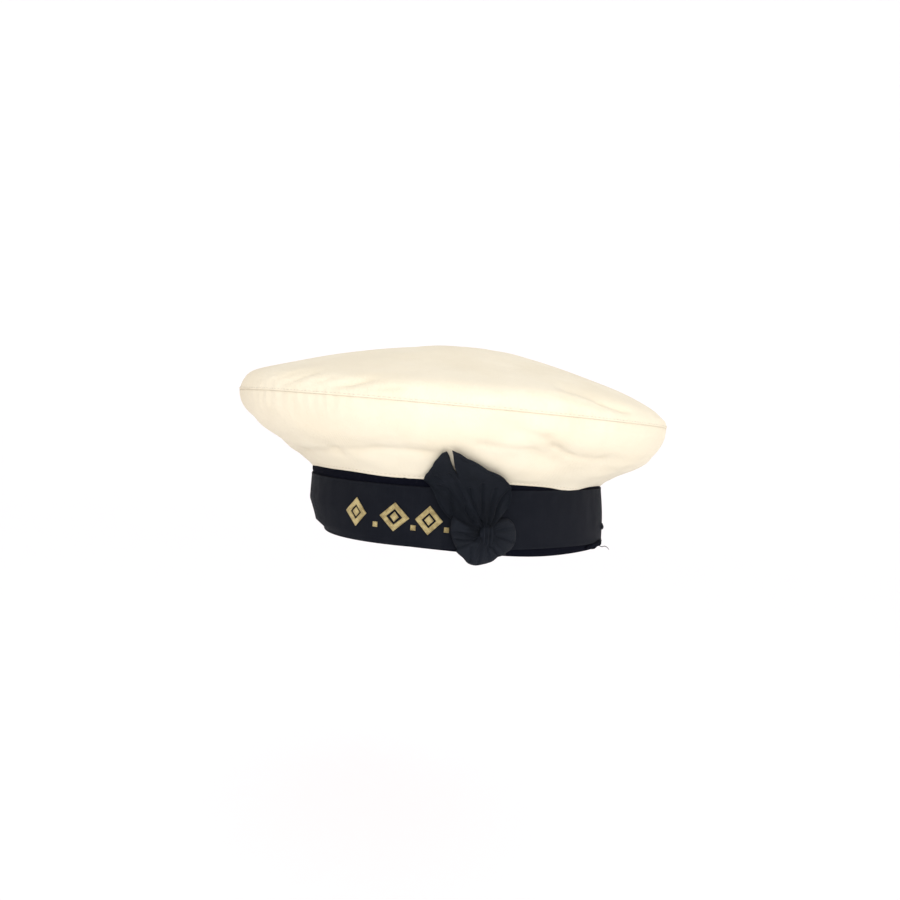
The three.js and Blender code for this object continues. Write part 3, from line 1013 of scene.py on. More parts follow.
    # Narrow creases within and beside the folds
    SIDE_CREASES = (
        Fold(-40, 0.15, -24, 0.22, 2.9, -0.51),
        Fold(-26, 0.24, -6, 0.30, 2.8, -0.66),
        Fold(-22, 0.33, -2, 0.36, 4.2, 0.37),
        Fold(-8, 0.33, 9, 0.40, 2.6, -0.59),
        Fold(8, 0.42, 24, 0.44, 2.6, -0.51),
        Fold(10, 0.34, 26, 0.36, 4.2, 0.37),
        Fold(36, 0.64, 50, 0.58, 2.6, -0.51),
        Fold(49, 0.60, 57, 0.44, 2.9, -0.51),
        Fold(45, 0.83, 52, 0.78, 2.6, -0.59),
        Fold(52, 0.78, 56, 0.66, 2.6, -0.74),
        Fold(56, 0.65, 61, 0.58, 2.4, -0.81),
        Fold(61, 0.58, 72, 0.56, 2.8, -0.59),
        Fold(63, 0.48, 74, 0.44, 4.9, 0.44),
        Fold(72, 0.60, 92, 0.64, 3.8, -0.44),
        Fold(76, 0.40, 96, 0.50, 3.8, -0.44),
        Fold(100, 0.62, 118, 0.70, 3.6, -0.51),
        Fold(112, 0.24, 130, 0.36, 3.6, -0.59),
        Fold(136, 0.36, 158, 0.46, 3.2, -0.66),
        Fold(160, 0.22, 176, 0.30, 3.6, -0.51),
        Fold(172, 0.66, 190, 0.60, 3.6, -0.44),
        Fold(198, 0.56, 220, 0.38, 3.2, -0.74),
        Fold(212, 0.22, 232, 0.26, 3.6, -0.51),
        Fold(232, 0.56, 248, 0.62, 3.6, -0.44),
        Fold(254, 0.26, 280, 0.36, 3.2, -0.66),
        Fold(284, 0.52, 304, 0.44, 3.8, -0.44),
        Fold(300, 0.20, 318, 0.16, 3.1, -0.51),
        Fold(-52, 0.56, -38, 0.70, 4.2, -0.3),
        Fold(-30, 0.58, -22, 0.76, 4.2, -0.3),
    )
    TOP_CREASES = (
        Fold(-28, 0.06, -20, 0.15, 2.9, -0.44),
        Fold(-21, 0.05, -12, 0.19, 2.9, -0.51),
        Fold(-13, 0.06, -7, 0.20, 2.8, -0.59),
        Fold(-6, 0.05, 0, 0.16, 2.9, -0.44),
        Fold(2, 0.06, 9, 0.18, 2.8, -0.59),
        Fold(8, 0.04, 17, 0.11, 2.9, -0.37),
        Fold(-24, 0.12, -4, 0.08, 3.2, 0.3),
        Fold(60, 0.27, 68, 0.17, 2.9, -0.66),
        Fold(67, 0.17, 75, 0.11, 2.9, -0.59),
        Fold(54, 0.16, 66, 0.10, 3.6, -0.3),
        Fold(88, 0.05, 96, 0.14, 3.2, -0.37),
        Fold(118, 0.06, 126, 0.18, 3.2, -0.44),
        Fold(138, 0.16, 150, 0.34, 3.6, -0.59),
        Fold(168, 0.05, 174, 0.15, 3.2, -0.44),
        Fold(196, 0.06, 206, 0.16, 3.2, -0.44),
        Fold(220, 0.05, 226, 0.18, 3.2, -0.44),
        Fold(244, 0.13, 258, 0.26, 3.6, -0.59),
        Fold(282, 0.05, 290, 0.16, 3.2, -0.37),
        Fold(306, 0.06, 316, 0.14, 3.2, -0.37),
    )
    SIDE_WAVES = (
        Wave(5, 1.3, 0.4, 0.35), Wave(9, 2.1, 2.1, 0.28), Wave(14, 3.0, 4.0, 0.20), Wave(23, 4.2, 1.1, 0.12),
    )
    TOP_WAVES = (
        Wave(3, 1.1, 1.4, 0.55), Wave(6, 2.3, 3.3, 0.42), Wave(11, 3.1, 0.6, 0.26), Wave(19, 4.6, 5.0, 0.14),
    )

    def __post_init__(self) -> None:
        """Lays out the two panels."""
        edge = (*self.half, *self.sag)
        self.side = Panel(
            Ring(*self.neck, 0, 0, self.neck_height),
            Ring(*edge, self.edge_height),
            Spline(self.SIDE_PATH), self.SIDE_FOLDS, self.SIDE_CREASES, self.SIDE_WAVES, False,
        )
        self.top = Panel(
            Ring(*edge, self.edge_height + 0.03),
            Ring(0, 0, 0, 0, self.edge_height + self.gap + self.dome_rise),
            Spline(self.TOP_PATH), self.TOP_FOLDS, self.TOP_CREASES, self.TOP_WAVES, True,
        )

    def puckers(self, azimuth: Grid, from_seam: Grid) -> Grid:
        """The small gathers along the edge seam.

        A wave runs round the edge and dies away from the seam in a hill. Slower waves shift its
        phase and change its depth, so that no two gathers are alike.

        Args:
            azimuth: Azimuths in radians.
            from_seam: Distance from the seam in millimetres.

        Returns:
            The lift in millimetres.
        """
        round_edge = azimuth * (sum(self.half) / 2)
        drift = sum(ripple.at(azimuth) for ripple in self.PUCKER_DRIFT)
        phase = TURN * round_edge / self.pucker_pitch + self.pucker_slant * from_seam + drift
        first, second = (ripple.at(azimuth) for ripple in self.PUCKER_BEATS)
        uneven = 1 - self.pucker_uneven * (1 - first * second)
        return self.pucker_depth * uneven * np.sin(phase) * hill(from_seam, self.pucker_reach)

    def seam_relief(self, from_seam: Grid, welt: bool) -> Grid:
        """The sewn edge: a groove at the seam, and on the welted side a roll up to the stitches."""
        groove = -self.groove_depth * hill(from_seam, self.groove_width)
        if not welt:
            return groove
        past_row = smoothstep(from_seam, self.stitch_row, self.stitch_row + 1.2)
        roll = self.roll_height * smoothstep(from_seam, 0.4, 1.2) * (1 - past_row)
        return groove + roll - self.needle_depth * hill(from_seam - self.stitch_row, self.needle_width)

    def flank_shaded(self, azimuth: Grid) -> Grid:
        """How much painted shade darkens the cloth: most at the wearer's right."""
        return self.flank_shade * nearness(azimuth, self.flank_shade_azimuth, self.flank_shade_spread)

    def shade_and_darkening(self, creased: Grid, from_seam: Grid) -> Grid:
        """How much painted shade darkens the creases, and how much the edge seam is painted darker, from 0 to
        1.
        """
        rubbed_and_highlit = self.fold_painted_light * np.clip(-creased / self.crease_depth, 0, 1)
        return rubbed_and_highlit + self.seam_darkening * hill(from_seam, self.seam_darkening_width)

    def hem_droop(self, azimuth: Grid) -> Grid:
        """How far the side panel's lower edge hangs over the band, in millimetres."""
        swags = sum(swag.drop * nearness(azimuth, swag.middle, swag.spread) for swag in self.HEM_SWAGS)
        return self.hem_drop + swags + sum(ripple.at(azimuth) for ripple in self.HEM_RIPPLES)

    def side_surface(self, azimuth: Grid, share: Grid) -> tuple[Grid, Grid]:
        """The dressed outer face of the side panel.

        To the plain face are added its narrow creases and slow swells, the edge seam with its
        puckers, the front and back joins, and the lip that hangs over the band. By the
        wearer's left ear the panel is drawn in towards the band.

        Args:
            azimuth: Azimuths in radians.
            share: Shares of the panel's path.

        Returns:
            The points in millimetres, and how much painted shade and darkening each has.
        """
        panel = self.side
        from_seam = (1 - share) * panel.length
        lift, creased = panel.relief(azimuth, share)
        lift += self.puckers(azimuth, from_seam) + self.seam_relief(from_seam, False)
        for join in self.JOINS:
            across = turn_between(np.radians(join), azimuth) * panel.ring(share)[0]
            lift -= self.join_depth * hill(across, self.join_width)
            lift += self.ridge_height * hill(across - self.ridge_off, self.ridge_width)
        points = panel.smooth(azimuth, share) + panel.normal(azimuth, share) * lift[..., None]
        near_neck = 1 - smoothstep(share, 0.0, self.lip_share)
        outward = np.stack([np.sin(azimuth), -np.cos(azimuth), np.zeros_like(azimuth)], -1)
        drawn = nearness(azimuth, self.drawn_azimuth, self.drawn_spread)
        drawn = drawn * (1 - smoothstep(share, 0.0, self.drawn_share))
        points = points + outward * (self.lip_out * near_neck - self.drawn_in * drawn)[..., None]
        points[..., 2] -= self.hem_droop(azimuth) * (1 - smoothstep(share, 0.0, self.droop_share))
        # Painted shade in the creases, at the neck and towards the wearer's right, and a darker line at the
        # seam
        wear_and_light = self.shade_and_darkening(creased, from_seam) + self.neck_shade * near_neck**2 + self.flank_shaded(azimuth)
        return points, np.clip(wear_and_light, 0, 1)

    def top_surface(self, azimuth: Grid, share: Grid) -> tuple[Grid, Grid]:
        """The dressed outer face of the top panel, with its creases, swells and welted edge.

        Args:
            azimuth: Azimuths in radians.
            share: Shares of the panel's path.

        Returns:
            The points in millimetres, and how much painted shade and darkening each has.
        """
        panel = self.top
        from_seam = share * panel.length
        kept = 1 - smoothstep(share, *self.CROWN_FADE)
        lift, creased = panel.relief(azimuth, share, kept)
        lift += (self.puckers(azimuth + 0.01, from_seam) + self.seam_relief(from_seam, True)) * kept
        points = panel.smooth(azimuth, share) + panel.normal(azimuth, share) * lift[..., None]
        # Painted shade in the creases and towards the wearer's right, and darker lines at the seam and the
        # stitch row
        wear_and_light = self.shade_and_darkening(creased, from_seam) + self.flank_shaded(azimuth) * hill(share, self.flank_shade_share)
        wear_and_light += self.needle_darkening * hill(from_seam - self.stitch_row, self.needle_darkening_width)
        return points, np.clip(wear_and_light, 0, 1)

    def grid(self, steps: int) -> tuple[Grid, Grid]:
        """The azimuths and shares of a panel's grid."""
        azimuth = np.linspace(0, TURN, self.rounds, endpoint=False)
        return np.meshgrid(azimuth, np.linspace(0, 1, steps + 1), indexing="ij")

    def inside(self, outer: Grid, panel: Panel, azimuth: Grid, share: Grid) -> Grid:
        """The inner face, one wall's thickness behind the outer one."""
        return outer - panel.normal(azimuth, share) * self.wall

    def side_panel(self, material: bpy.types.Material) -> bpy.types.Object:
        """Makes the side panel."""
        azimuth, share = self.grid(self.side_steps)
        outer, wear_and_light = self.side_surface(azimuth, share)
        mean = (sum(self.half) + sum(self.neck)) / 4
        spread = even_spread(TURN * mean / self.rounds, self.side.length / self.side_steps)
        inner = self.inside(outer, self.side, azimuth, share)
        piece = self.maker.shell("crown_side_cloth", outer, inner, ring=True, spread=spread, wear_and_light=wear_and_light)
        return dress(piece, material, "duck", "crown_side")

    def top_panel(self, material: bpy.types.Material) -> bpy.types.Object:
        """Makes the top panel."""
        azimuth, share = self.grid(self.top_steps)
        outer, wear_and_light = self.top_surface(azimuth, share)
        inner = self.inside(outer, self.top, azimuth, share)
        piece = self.maker.shell("crown_top_cloth", outer, inner, ring=True, pole=True, wear_and_light=wear_and_light)
        return dress(piece, material, "duck", "crown_top")

    def stitches(self, row: StitchRow, share: float, material: bpy.types.Material) -> bpy.types.Object:
        """Sews a row of short stitches round the crown.

        Args:
            row: The row.
            share: The share of its panel's path at which it runs.
            material: The thread's finish.

        Returns:
            The stitches, as one piece.
        """
        surface, panel = (self.top_surface, self.top) if row.on_top else (self.side_surface, self.side)
        azimuth = np.linspace(0, TURN, row.count, endpoint=False)
        share = np.full(row.count, share)
        middles, ahead = (surface(azimuth + turn, share)[0] for turn in (0, 0.004))
        up = panel.normal(azimuth, share)
        beads = self.maker.beads(row.name, middles + up * row.off, ahead - middles, up, row.size)
        return dress(beads, material, "duck")

    def build(self) -> list[bpy.types.Object]:
        """Makes the crown's pieces.

        Returns:
            The pieces.
        """
        on_place = DuckCloth("duck_top", Cloth.PLACE).material()
        on_map = DuckCloth("duck_side", Cloth.MAP).material()
        thread = Thread("cream_thread", (0.80, 0.74, 0.60)).material()
        top, side = self.top_panel(on_place), self.side_panel(on_map)
        edge = self.stitches(self.EDGE_STITCHES, self.stitch_row / self.top.length, thread)
        lip = self.stitches(self.LIP_STITCHES, self.lip_stitch_share, thread)
        return [top, side, edge, lip]


@dataclass
class Band:
    """The dark cloth band, drawn in at the wearer's right temple, and the ribbon round it.

    Sizes are millimetres, azimuths and spreads are degrees, and shares are of the ribbon's width.
    """

    maker: Maker
    outer: tuple[float, float] = (85.0, 103.0)
    wall: float = 3.0
    height: float = 36.0
    top_over: float = 1.3
    turned_rim: float = 0.9
    bulge: float = 0.75
    bulge_held: float = 0.6
    bulge_spread: float = 34.38
    ribbon_width: float = 32.0
    ribbon_wall: float = 1.0
    half_wall: float = 0.2
    ribbon_drop: float = 1.2
    ribbon_slant: float = 4.3
    ribbon_low_azimuth: float = -50.0
    ribbon_off: float = 0.30
    lower_edge_share: float = 0.35
    sewn_hold: float = 0.6
    sewn_share: float = 0.1
    cord_height: float = 0.16
    cord_share: float = 0.014
    cord_width: float = 0.012
    worn_height: float = 0.3
    rise: float = 1.2
    rise_azimuth: float = 76.0
    rise_spread: float = 30.0
    gap: float = 0.3
    tuck_depth: float = 10.0
    tuck_azimuth: float = -50.0
    tuck_spread: float = 40.0
    dip_depth: float = 1.8
    dip_azimuth: float = 60.0
    dip_spread: float = 24.0
    dip_reach: float = 12.0
    lean: float = 1.7
    belly: float = 0.9
    lean_azimuth: float = 106.0
    lean_spread: float = 30.0
    rounds: int = 480

    TUCK_SECTION = ((0.00, 1.00), (0.12, 0.45), (0.26, 0.30), (0.50, 0.00))
    # Rows of points: near the band's rim in millimetres, and near the ribbon's edges in shares
    RIM_ROWS = (0.0, 0.12, 0.4, 0.9)
    EDGE_ROWS = (0.0, 0.012, 0.03, 0.045)
    BULGE_RISE = (0.1, 1.4)
    BAND_RIPPLE = Ripple(13, 1.0, 0.12)
    RIBBON_RIPPLES = (
        Ripple(9, 0.4, 0.154), Ripple(17, 2.0, 0.112), Ripple(41, 0.0, 0.07, 4.0),
        Ripple(67, 1.0, 0.042, -3.0),
    )

    def tuck_share(self, height: Grid) -> Grid:
        """How much of the tuck is left at a height."""
        heights, draws = zip(*self.TUCK_SECTION)
        return np.interp(np.asarray(height) / self.ribbon_width, heights, draws)

    def point(self, azimuth: Grid, height: Grid, outside: Grid | float) -> Grid:
        """Points of a ring that follows the band's outer face, so far outside it.

        The half sizes are the band's, plus the distance outside, less the tuck: its depth times
        what is left of it at the height, times its nearness. By the wearer's left ear the worn
        band leans in at the top and out at the rim, and its belly stands out between them.

        Args:
            azimuth: Azimuths in radians.
            height: Heights in millimetres.
            outside: Distance outside the face in millimetres.

        Returns:
            The points.
        """
        tuck = self.tuck_share(height) * nearness(azimuth, self.tuck_azimuth, self.tuck_spread)
        rise = np.asarray(height) / self.height
        shape = self.lean * (1 - 2 * rise) + self.belly * np.sin(np.pi * np.clip(rise, 0, 1))
        leaning = shape * nearness(azimuth, self.lean_azimuth, self.lean_spread)
        out = outside - self.tuck_depth * tuck + leaning
        return ring_point(self.outer[0] + out, self.outer[1] + out, 0.0, 0.0, azimuth, height)

    def ribbon_bottom(self, azimuth: Grid) -> Grid:
        """The height of the ribbon's lower edge, which slants a little and rides up past the bow."""
        turn = azimuth - np.radians(self.ribbon_low_azimuth)
        rise = self.rise * nearness(azimuth, self.rise_azimuth, self.rise_spread)
        return -self.ribbon_drop + self.ribbon_slant * (1 - np.cos(turn)) / 2 + rise

    def ribbon_lift(self, azimuth: Grid, share: Grid) -> Grid:
        """How the worn ribbon stands off the band: slow waves, most at its free upper edge."""
        ripples = sum(ripple.at(azimuth, share) for ripple in self.RIBBON_RIPPLES)
        free = self.lower_edge_share + (1 - self.lower_edge_share) * share
        return self.ribbon_off + ripples * free * (1 - self.sewn_hold * hill(share, self.sewn_share))

    def spread(self, steps: Grid) -> Spread:
        """Millimetres round and up the band for a grid's rows and columns."""
        step = TURN * sum(self.outer) / 2 / self.rounds
        return lambda row, column: (row * step, steps[column])

    def cloth_band(self, material: bpy.types.Material) -> bpy.types.Object:
        """Makes the band: an outer face with a turned rim, and an inner face."""
        azimuth = np.linspace(0, TURN, self.rounds, endpoint=False)
        rows = np.linspace(2, self.height, 24)
        heights = np.concatenate([self.RIM_ROWS, rows, [self.height + self.top_over]])
        turned = self.turned_rim * (1 - np.sqrt(np.clip(heights / self.turned_rim, 0, 1)))
        a, z = np.meshgrid(azimuth, heights, indexing="ij")
        wave = self.BAND_RIPPLE.at(a) * np.sin(np.pi * np.clip(z / self.height, 0, 1))
        dip = self.dip_depth * nearness(a, self.dip_azimuth, self.dip_spread)
        z = z - dip * np.clip(1 - z / self.dip_reach, 0, 1)
        above_ribbon = z - self.ribbon_bottom(a) - self.ribbon_width
        bulge = self.bulge * smoothstep(above_ribbon, *self.BULGE_RISE)
        bulge = bulge * (1 - self.bulge_held * nearness(a, self.lean_azimuth, self.bulge_spread))
        outer = self.point(a, z, wave + bulge - turned)
        inner = self.point(a, z, turned - self.wall)
        piece = self.maker.shell("band_cloth", outer, inner, ring=True, spread=self.spread(heights))
        return dress(piece, material, "serge", "head_band")

    def ribbon(self, material: bpy.types.Material) -> bpy.types.Object:
        """Makes the ribbon: a thin wall that lies on the band, with thicker woven edges."""
        azimuth = np.linspace(0, TURN, self.rounds, endpoint=False)
        edge = np.array(self.EDGE_ROWS)
        shares = np.concatenate([edge, np.linspace(0.08, 0.92, 22), 1 - edge[::-1]])
        a, share = np.meshgrid(azimuth, shares, indexing="ij")
        height = self.ribbon_bottom(a) + share * self.ribbon_width
        cord = self.cord_height * hill(np.minimum(share, 1 - share) - self.cord_share, self.cord_width)
        middle, half = self.gap + self.ribbon_lift(a, share), self.half_wall + cord
        outer, inner = (self.point(a, height, middle + side * half) for side in (1, -1))
        spread, wear_and_light = self.spread(shares * self.ribbon_width), cord / self.worn_height
        piece = self.maker.shell("ribbon_silk", outer, inner, ring=True, spread=spread, wear_and_light=wear_and_light)
        return dress(piece, material, "silk", "tally_ribbon")

    def ribbon_point(self, azimuth: Grid, height: Grid, off: Grid | float) -> Grid:
        """Points so far off the ribbon's outer face."""
        share = (height - self.ribbon_bottom(azimuth)) / self.ribbon_width
        return self.point(azimuth, height, self.gap + self.ribbon_lift(azimuth, share) + self.half_wall + off)

    def build(self) -> list[bpy.types.Object]:
        """Makes the band and the ribbon.

        Returns:
            The pieces.
        """
        serge = Serge("serge_band").material()
        # The ribbon's silk: a shaded copy of the one silk of ribbon and bow, its colours painted darker
        silk = RibbedSilk("silk_ribbon_shaded_copy", (0.0080, 0.0096, 0.0145), (0.0145, 0.0162, 0.0215), 0.04).material()
        cloth, ribbon = self.cloth_band(serge), self.ribbon(silk)
        return [cloth, ribbon]


@dataclass(frozen=True)
class Lozenge:
    """An upright lozenge of the ornament: its middle's azimuth in degrees, and half its width."""

    azimuth: float
    half_width: float


@dataclass
class Ornament:
    """A row of woven gold lozenges and small squares at the front of the ribbon, in millimetres."""

    maker: Maker
    band: Band
    middle_height: float = 15.0
    half_height: float = 7.2
    line_width: float = 2.5
    raised: float = 0.55
    rim_raised: float = 0.25
    sunk: float = 0.05
    heart: tuple[float, float] = (2.5, 2.7)
    dot_half: float = 1.4
    dot_height: float = 9.7
    dot_climb: float = 0.035

    LOZENGES = (Lozenge(-4.7, 6.6), Lozenge(11.0, 7.6), Lozenge(23.2, 6.8))
    DOTS = (3.8, 18.0, 29.4)

    def on_ribbon(self, azimuth: float, across: Grid, up: Grid, off: Grid) -> Grid:
        """Points so far across and up from a middle on the ribbon, and off its face.

        Args:
            azimuth: The middle's azimuth in degrees.
            across: Millimetres round the ribbon.
            up: Heights in millimetres.
            off: Millimetres off the face.

        Returns:
            The points.
        """
        middle = np.radians(azimuth)
        half_x, half_y = self.band.outer
        per_turn = np.hypot(half_x * np.cos(middle), half_y * np.sin(middle))
        return self.band.ribbon_point(middle + across / per_turn, up, off)

    def outline(self, lozenge: Lozenge) -> Grid:
        """The frame of a lozenge: a flat band's section carried round its four sides.

        Along a side from corner to corner the middle line is straight. The section is a
        rectangle with a domed top, and is widened at a corner so that the sides meet there.

        Args:
            lozenge: The lozenge.

        Returns:
            The sections' points.
        """
        width, height = lozenge.half_width - self.line_width / 2, self.half_height - self.line_width / 2
        corners = np.array([(width, 0), (0, height), (-width, 0), (0, -height)], float)
        share = np.linspace(0, 1, 12, endpoint=False)[:, None]
        sides = [corners[k] * (1 - share) + corners[(k + 1) % 4] * share for k in range(4)]
        line = np.concatenate(sides)
        grow = self.line_width / 2 / (width * height / np.hypot(width, height))
        section = np.array([(-1, -0.1), (-1, 0.75), (-0.55, 1), (0.55, 1), (1, 0.75), (1, -0.1)])
        scale = 1 + grow * section[:, 0]
        across = line[:, None, 0] * scale
        up = line[:, None, 1] * scale + self.middle_height
        off = np.broadcast_to(section[:, 1] * self.raised, across.shape)
        return self.on_ribbon(lozenge.azimuth, across, up, off)

    def patch(
        self, azimuth: float, height: float, half_width: float, half_height: float, square: bool,
    ) -> tuple[Grid, Grid]:
        """A small domed patch, upright or on its corner.

        Its grid runs over a square. On its corner, across = (u - v) / 2 and up = (u + v) / 2.
        The dome stands on a low rim, and is the square root of (1 - u^8)(1 - v^8).

        Args:
            azimuth: The middle's azimuth in degrees.
            height: The middle's height in millimetres.
            half_width: Half its width.
            half_height: Half its height.
            square: Whether it stands on a side.

        Returns:
            Its outer and inner faces' points.
        """
        u, v = np.meshgrid(np.linspace(-1, 1, 11), np.linspace(-1, 1, 11), indexing="ij")
        across, up = (u, v) if square else ((u - v) / 2, (u + v) / 2)
        across, up = across * half_width, height + up * half_height
        dome = np.sqrt((1 - u**8) * (1 - v**8))
        off = self.raised * (self.rim_raised + (1 - self.rim_raised) * dome)
        top = self.on_ribbon(azimuth, across, up, off)
        foot = self.on_ribbon(azimuth, across, up, np.full(u.shape, -self.sunk))
        return top, foot

    def build(self) -> list[bpy.types.Object]:
        """Makes the ornament's pieces.

        Returns:
            The pieces.
        """
        gold = GoldThread("gold_thread").material()
        pieces = []
        for number, lozenge in enumerate(self.LOZENGES, 1):
            frame_piece = self.maker.tube(f"lozenge_frame_{number}", self.outline(lozenge), closed=True)
            pieces.append(dress(frame_piece, gold, "silk"))
            faces = self.patch(lozenge.azimuth, self.middle_height, *self.heart, False)
            pieces.append(dress(self.maker.shell(f"lozenge_heart_{number}", *faces), gold, "silk"))
        for number, azimuth in enumerate(self.DOTS, 1):
            height = self.dot_height + self.dot_climb * azimuth
            faces = self.patch(azimuth, height, self.dot_half, self.dot_half, True)
            pieces.append(dress(self.maker.shell(f"gold_dot_{number}", *faces), gold, "silk"))
        return pieces


@dataclass(frozen=True)
class Ray:
    """A ray of the bow: its angles from root to tip, in degrees from the way to the wearer's back.

    reach is a share of the tails' or the loops' length.
    """

    angles: tuple[float, ...]
    reach: float


@dataclass(frozen=True)
class Pleat:
    """A pleat along a line of places (along, up) from the knot, in millimetres."""

    line: tuple[tuple[float, float], ...]
    width: float
    depth: float


@dataclass(frozen=True)
class Gather:
    """Gathers round the knot: so many a turn, their height, and how phase and radius turn them."""

    rounds: int
    height: float
    phase: float
    slant: float = 0.0

    def at(self, angle: Grid, radius: Grid, phase: float) -> Grid:
        """Their lift: height sin(rounds angle + own phase times phase + slant radius)."""
        return self.height * np.sin(self.rounds * angle + self.phase * phase + self.slant * radius)


@dataclass
class Bow:
    """The flat bow: two cut ends fanned over the crown, three loops, and the gathered knot.

    Sizes are millimetres, and the knot's azimuth is in degrees. A wear or a painted highlight is
    how far a place is painted towards the lighter rubbed colour, from 0 to 1.
    """

    maker: Maker
    crown: Crown
    band: Band
    azimuth: float = 41.3
    height: float = 11.5
    radius: float = 5.0
    thickness: float = 6.5
    tail_length: float = 55.0
    tail_off: float = 1.0
    tail_overlap: float = 1.1
    curl: float = 0.9
    pleat_floor: float = -1.15
    # How strongly the raised rolls of the pleats and gathers are painted lighter as highlight
    fold_painted_light: float = 0.35
    end_wear: float = 0.3
    root_in: float = 1.5
    root_lift: float = 3.0
    settle: float = 14.0
    tail_columns: int = 64
    rows_per_ray: int = 8
    loop_length: float = 18.5
    loop_puff: float = 6.0
    loop_gathers: float = 0.55
    near_reach: float = 7.0
    middle_reach: float = 22.0
    middle_from: float = 12.0
    loop_flat: float = 0.62
    loop_swell: float = 0.22
    loop_wear: float = 0.22
    loop_rows: int = 60
    loop_columns: int = 52
    roll_height: float = 0.45
    roll_width: float = 2.4
    rib_height: float = 0.42
    rib_count: float = 2.4
    knot_foot: float = 0.2
    knot_sink: float = 1.6
    knot_pinch: float = 0.10
    knot_over: tuple[float, float] = (0.3, 2.2)
    knot_shift: tuple[float, float] = (1.8, -1.8)
    corner: float = 9.0
    gap: float = 0.3
    wall: float = 0.5

    LEFT_TAIL = (
        Ray((172, 163), 0.36), Ray((166, 158), 0.44), Ray((160, 152), 0.54), Ray((155, 146.5), 0.62),
        Ray((150, 142.4), 0.71), Ray((147, 141), 0.79), Ray((143, 136), 0.825), Ray((139, 131), 0.85),
        Ray((134, 124), 0.905), Ray((129, 126, 121, 117), 1.00), Ray((121, 118, 116, 112.6), 1.08),
        Ray((112, 112.4, 114.2, 110.2), 1.10),
    )
    RIGHT_TAIL = (
        Ray((112, 116.5, 113.4, 107.8), 1.12), Ray((108, 110, 108, 105.5), 1.07), Ray((104, 103.5), 0.99),
        Ray((100, 99), 0.90), Ray((95, 94), 0.81), Ray((89, 89), 0.765), Ray((83, 84), 0.725),
        Ray((77, 79), 0.675), Ray((71, 74), 0.62), Ray((65, 69), 0.575), Ray((59, 63), 0.50),
        Ray((52, 55), 0.405), Ray((46, 48), 0.315),
    )
    RIGHT_LOOP = (
        Ray((48, 40), 0.62), Ray((36, 30), 0.82), Ray((22, 17), 0.93), Ray((4, 1), 0.99),
        Ray((-14, -15), 1.03), Ray((-30, -29), 1.00), Ray((-46, -43), 0.90),
    )
    BOTTOM_LOOP = (
        Ray((-38, -40), 0.97), Ray((-54, -55), 0.86), Ray((-68, -68), 0.90), Ray((-84, -85), 0.93),
        Ray((-98, -100), 0.99), Ray((-112, -112), 1.00), Ray((-126, -125), 0.94), Ray((-144, -142), 0.97),
    )
    LEFT_LOOP = (
        Ray((-130, -138), 0.90), Ray((-146, -151), 0.91), Ray((-160, -165), 0.93), Ray((-175, -181), 0.97),
        Ray((-194, -202), 1.00),
    )
    # How straight a cut end runs between its rays, from 0, flowing, to 1, straight
    STIFFNESS = 0.6
    LOOP_SECTION = (
        (0.00, 0.74), (0.25, 0.95), (0.60, 1.00), (0.88, 0.80), (1.00, 0.45), (0.88, 0.14), (0.50, 0.09),
        (0.00, 0.09),
    )
    PLEATS = (
        Pleat(((-25.8, 23.6), (-20.7, 21.0), (-18.7, 14.8), (-17.1, 6.0)), 1.2, -1.3),
        Pleat(((-27.0, 31.0), (-15.0, 15.0), (-6.0, 6.0)), 1.3, -0.87),
        Pleat(((-20.0, 36.0), (-13.5, 20.0), (-6.0, 8.0)), 1.1, -1.01),
        Pleat(((-11.1, 13.0), (-9.1, 7.8), (-6.6, 5.1)), 0.9, -1.45),
        Pleat(((-9.5, 24.0), (-7.5, 15.7), (-5.4, 10.4), (-2.6, 6.0)), 1.0, -1.45),
        Pleat(((-3.5, 30.0), (-2.6, 14.8), (-3.0, 8.6), (-1.7, 5.0)), 1.1, -1.3),
        Pleat(((4.0, 26.0), (2.0, 12.0), (0.8, 5.0)), 1.1, -1.01),
        Pleat(((12.0, 25.0), (6.1, 13.9), (4.5, 8.6), (2.8, 4.2)), 1.1, -1.45),
        Pleat(((16.0, 17.0), (9.0, 9.0), (4.5, 4.5)), 1.1, -1.01),
        Pleat(((-16.3, -1.1), (-11.9, -1.1), (-7.5, -2.8), (-3.8, -1.9)), 0.9, -1.59),
        Pleat(((-15.5, -4.6), (-9.9, -4.6), (-3.8, -4.0)), 0.8, -1.45),
        Pleat(((-13.0, -9.0), (-8.5, -6.6), (-4.0, -3.5)), 0.9, -1.01),
        Pleat(((2.8, -7.2), (5.7, -9.0), (9.1, -12.5)), 0.8, -1.45),
        Pleat(((-6.6, -8.1), (-6.4, -11.5), (-6.2, -16.0)), 0.9, -1.3),
        Pleat(((-1.0, -6.5), (-1.6, -12.0), (-2.2, -17.0)), 0.9, -1.16),
        Pleat(((1.2, -6.5), (3.0, -12.0), (4.2, -16.5)), 0.8, -1.01),
        Pleat(((6.5, -2.0), (12.0, -3.6), (17.0, -5.0)), 0.9, -1.01),
        Pleat(((6.5, 1.6), (12.0, 2.6), (17.0, 3.4)), 1.0, -0.87),
    )

    FINE_GATHERS = (Gather(19, 0.26, 1.0, 0.08), Gather(33, 0.18, 2.7))
    MIDDLE_GATHER = Gather(13, 0.26, 2.1)
    SLOW_GATHER = Gather(7, 0.50, 1.3)
    # The radii over which the middle and the slow gathers come in
    MIDDLE_RISE = (5.0, 10.0)
    SLOW_RISE = (8.0, 30.0)

    def ground(self, azimuth: Grid, way: Grid) -> Grid:
        """The surface that the bow lies on: the ribbon, a round corner, and the crown's flare.

        The corner is the quadratic curve from the ribbon below the crown's neck, by the neck
        itself, to the flare above it.

        Args:
            azimuth: Azimuths in radians.
            way: Millimetres up that surface, which is the height as far as the ribbon goes.

        Returns:
            The points.
        """
        neck = self.crown.neck_height
        off = self.gap + self.band.ribbon_wall
        outer = self.band.outer

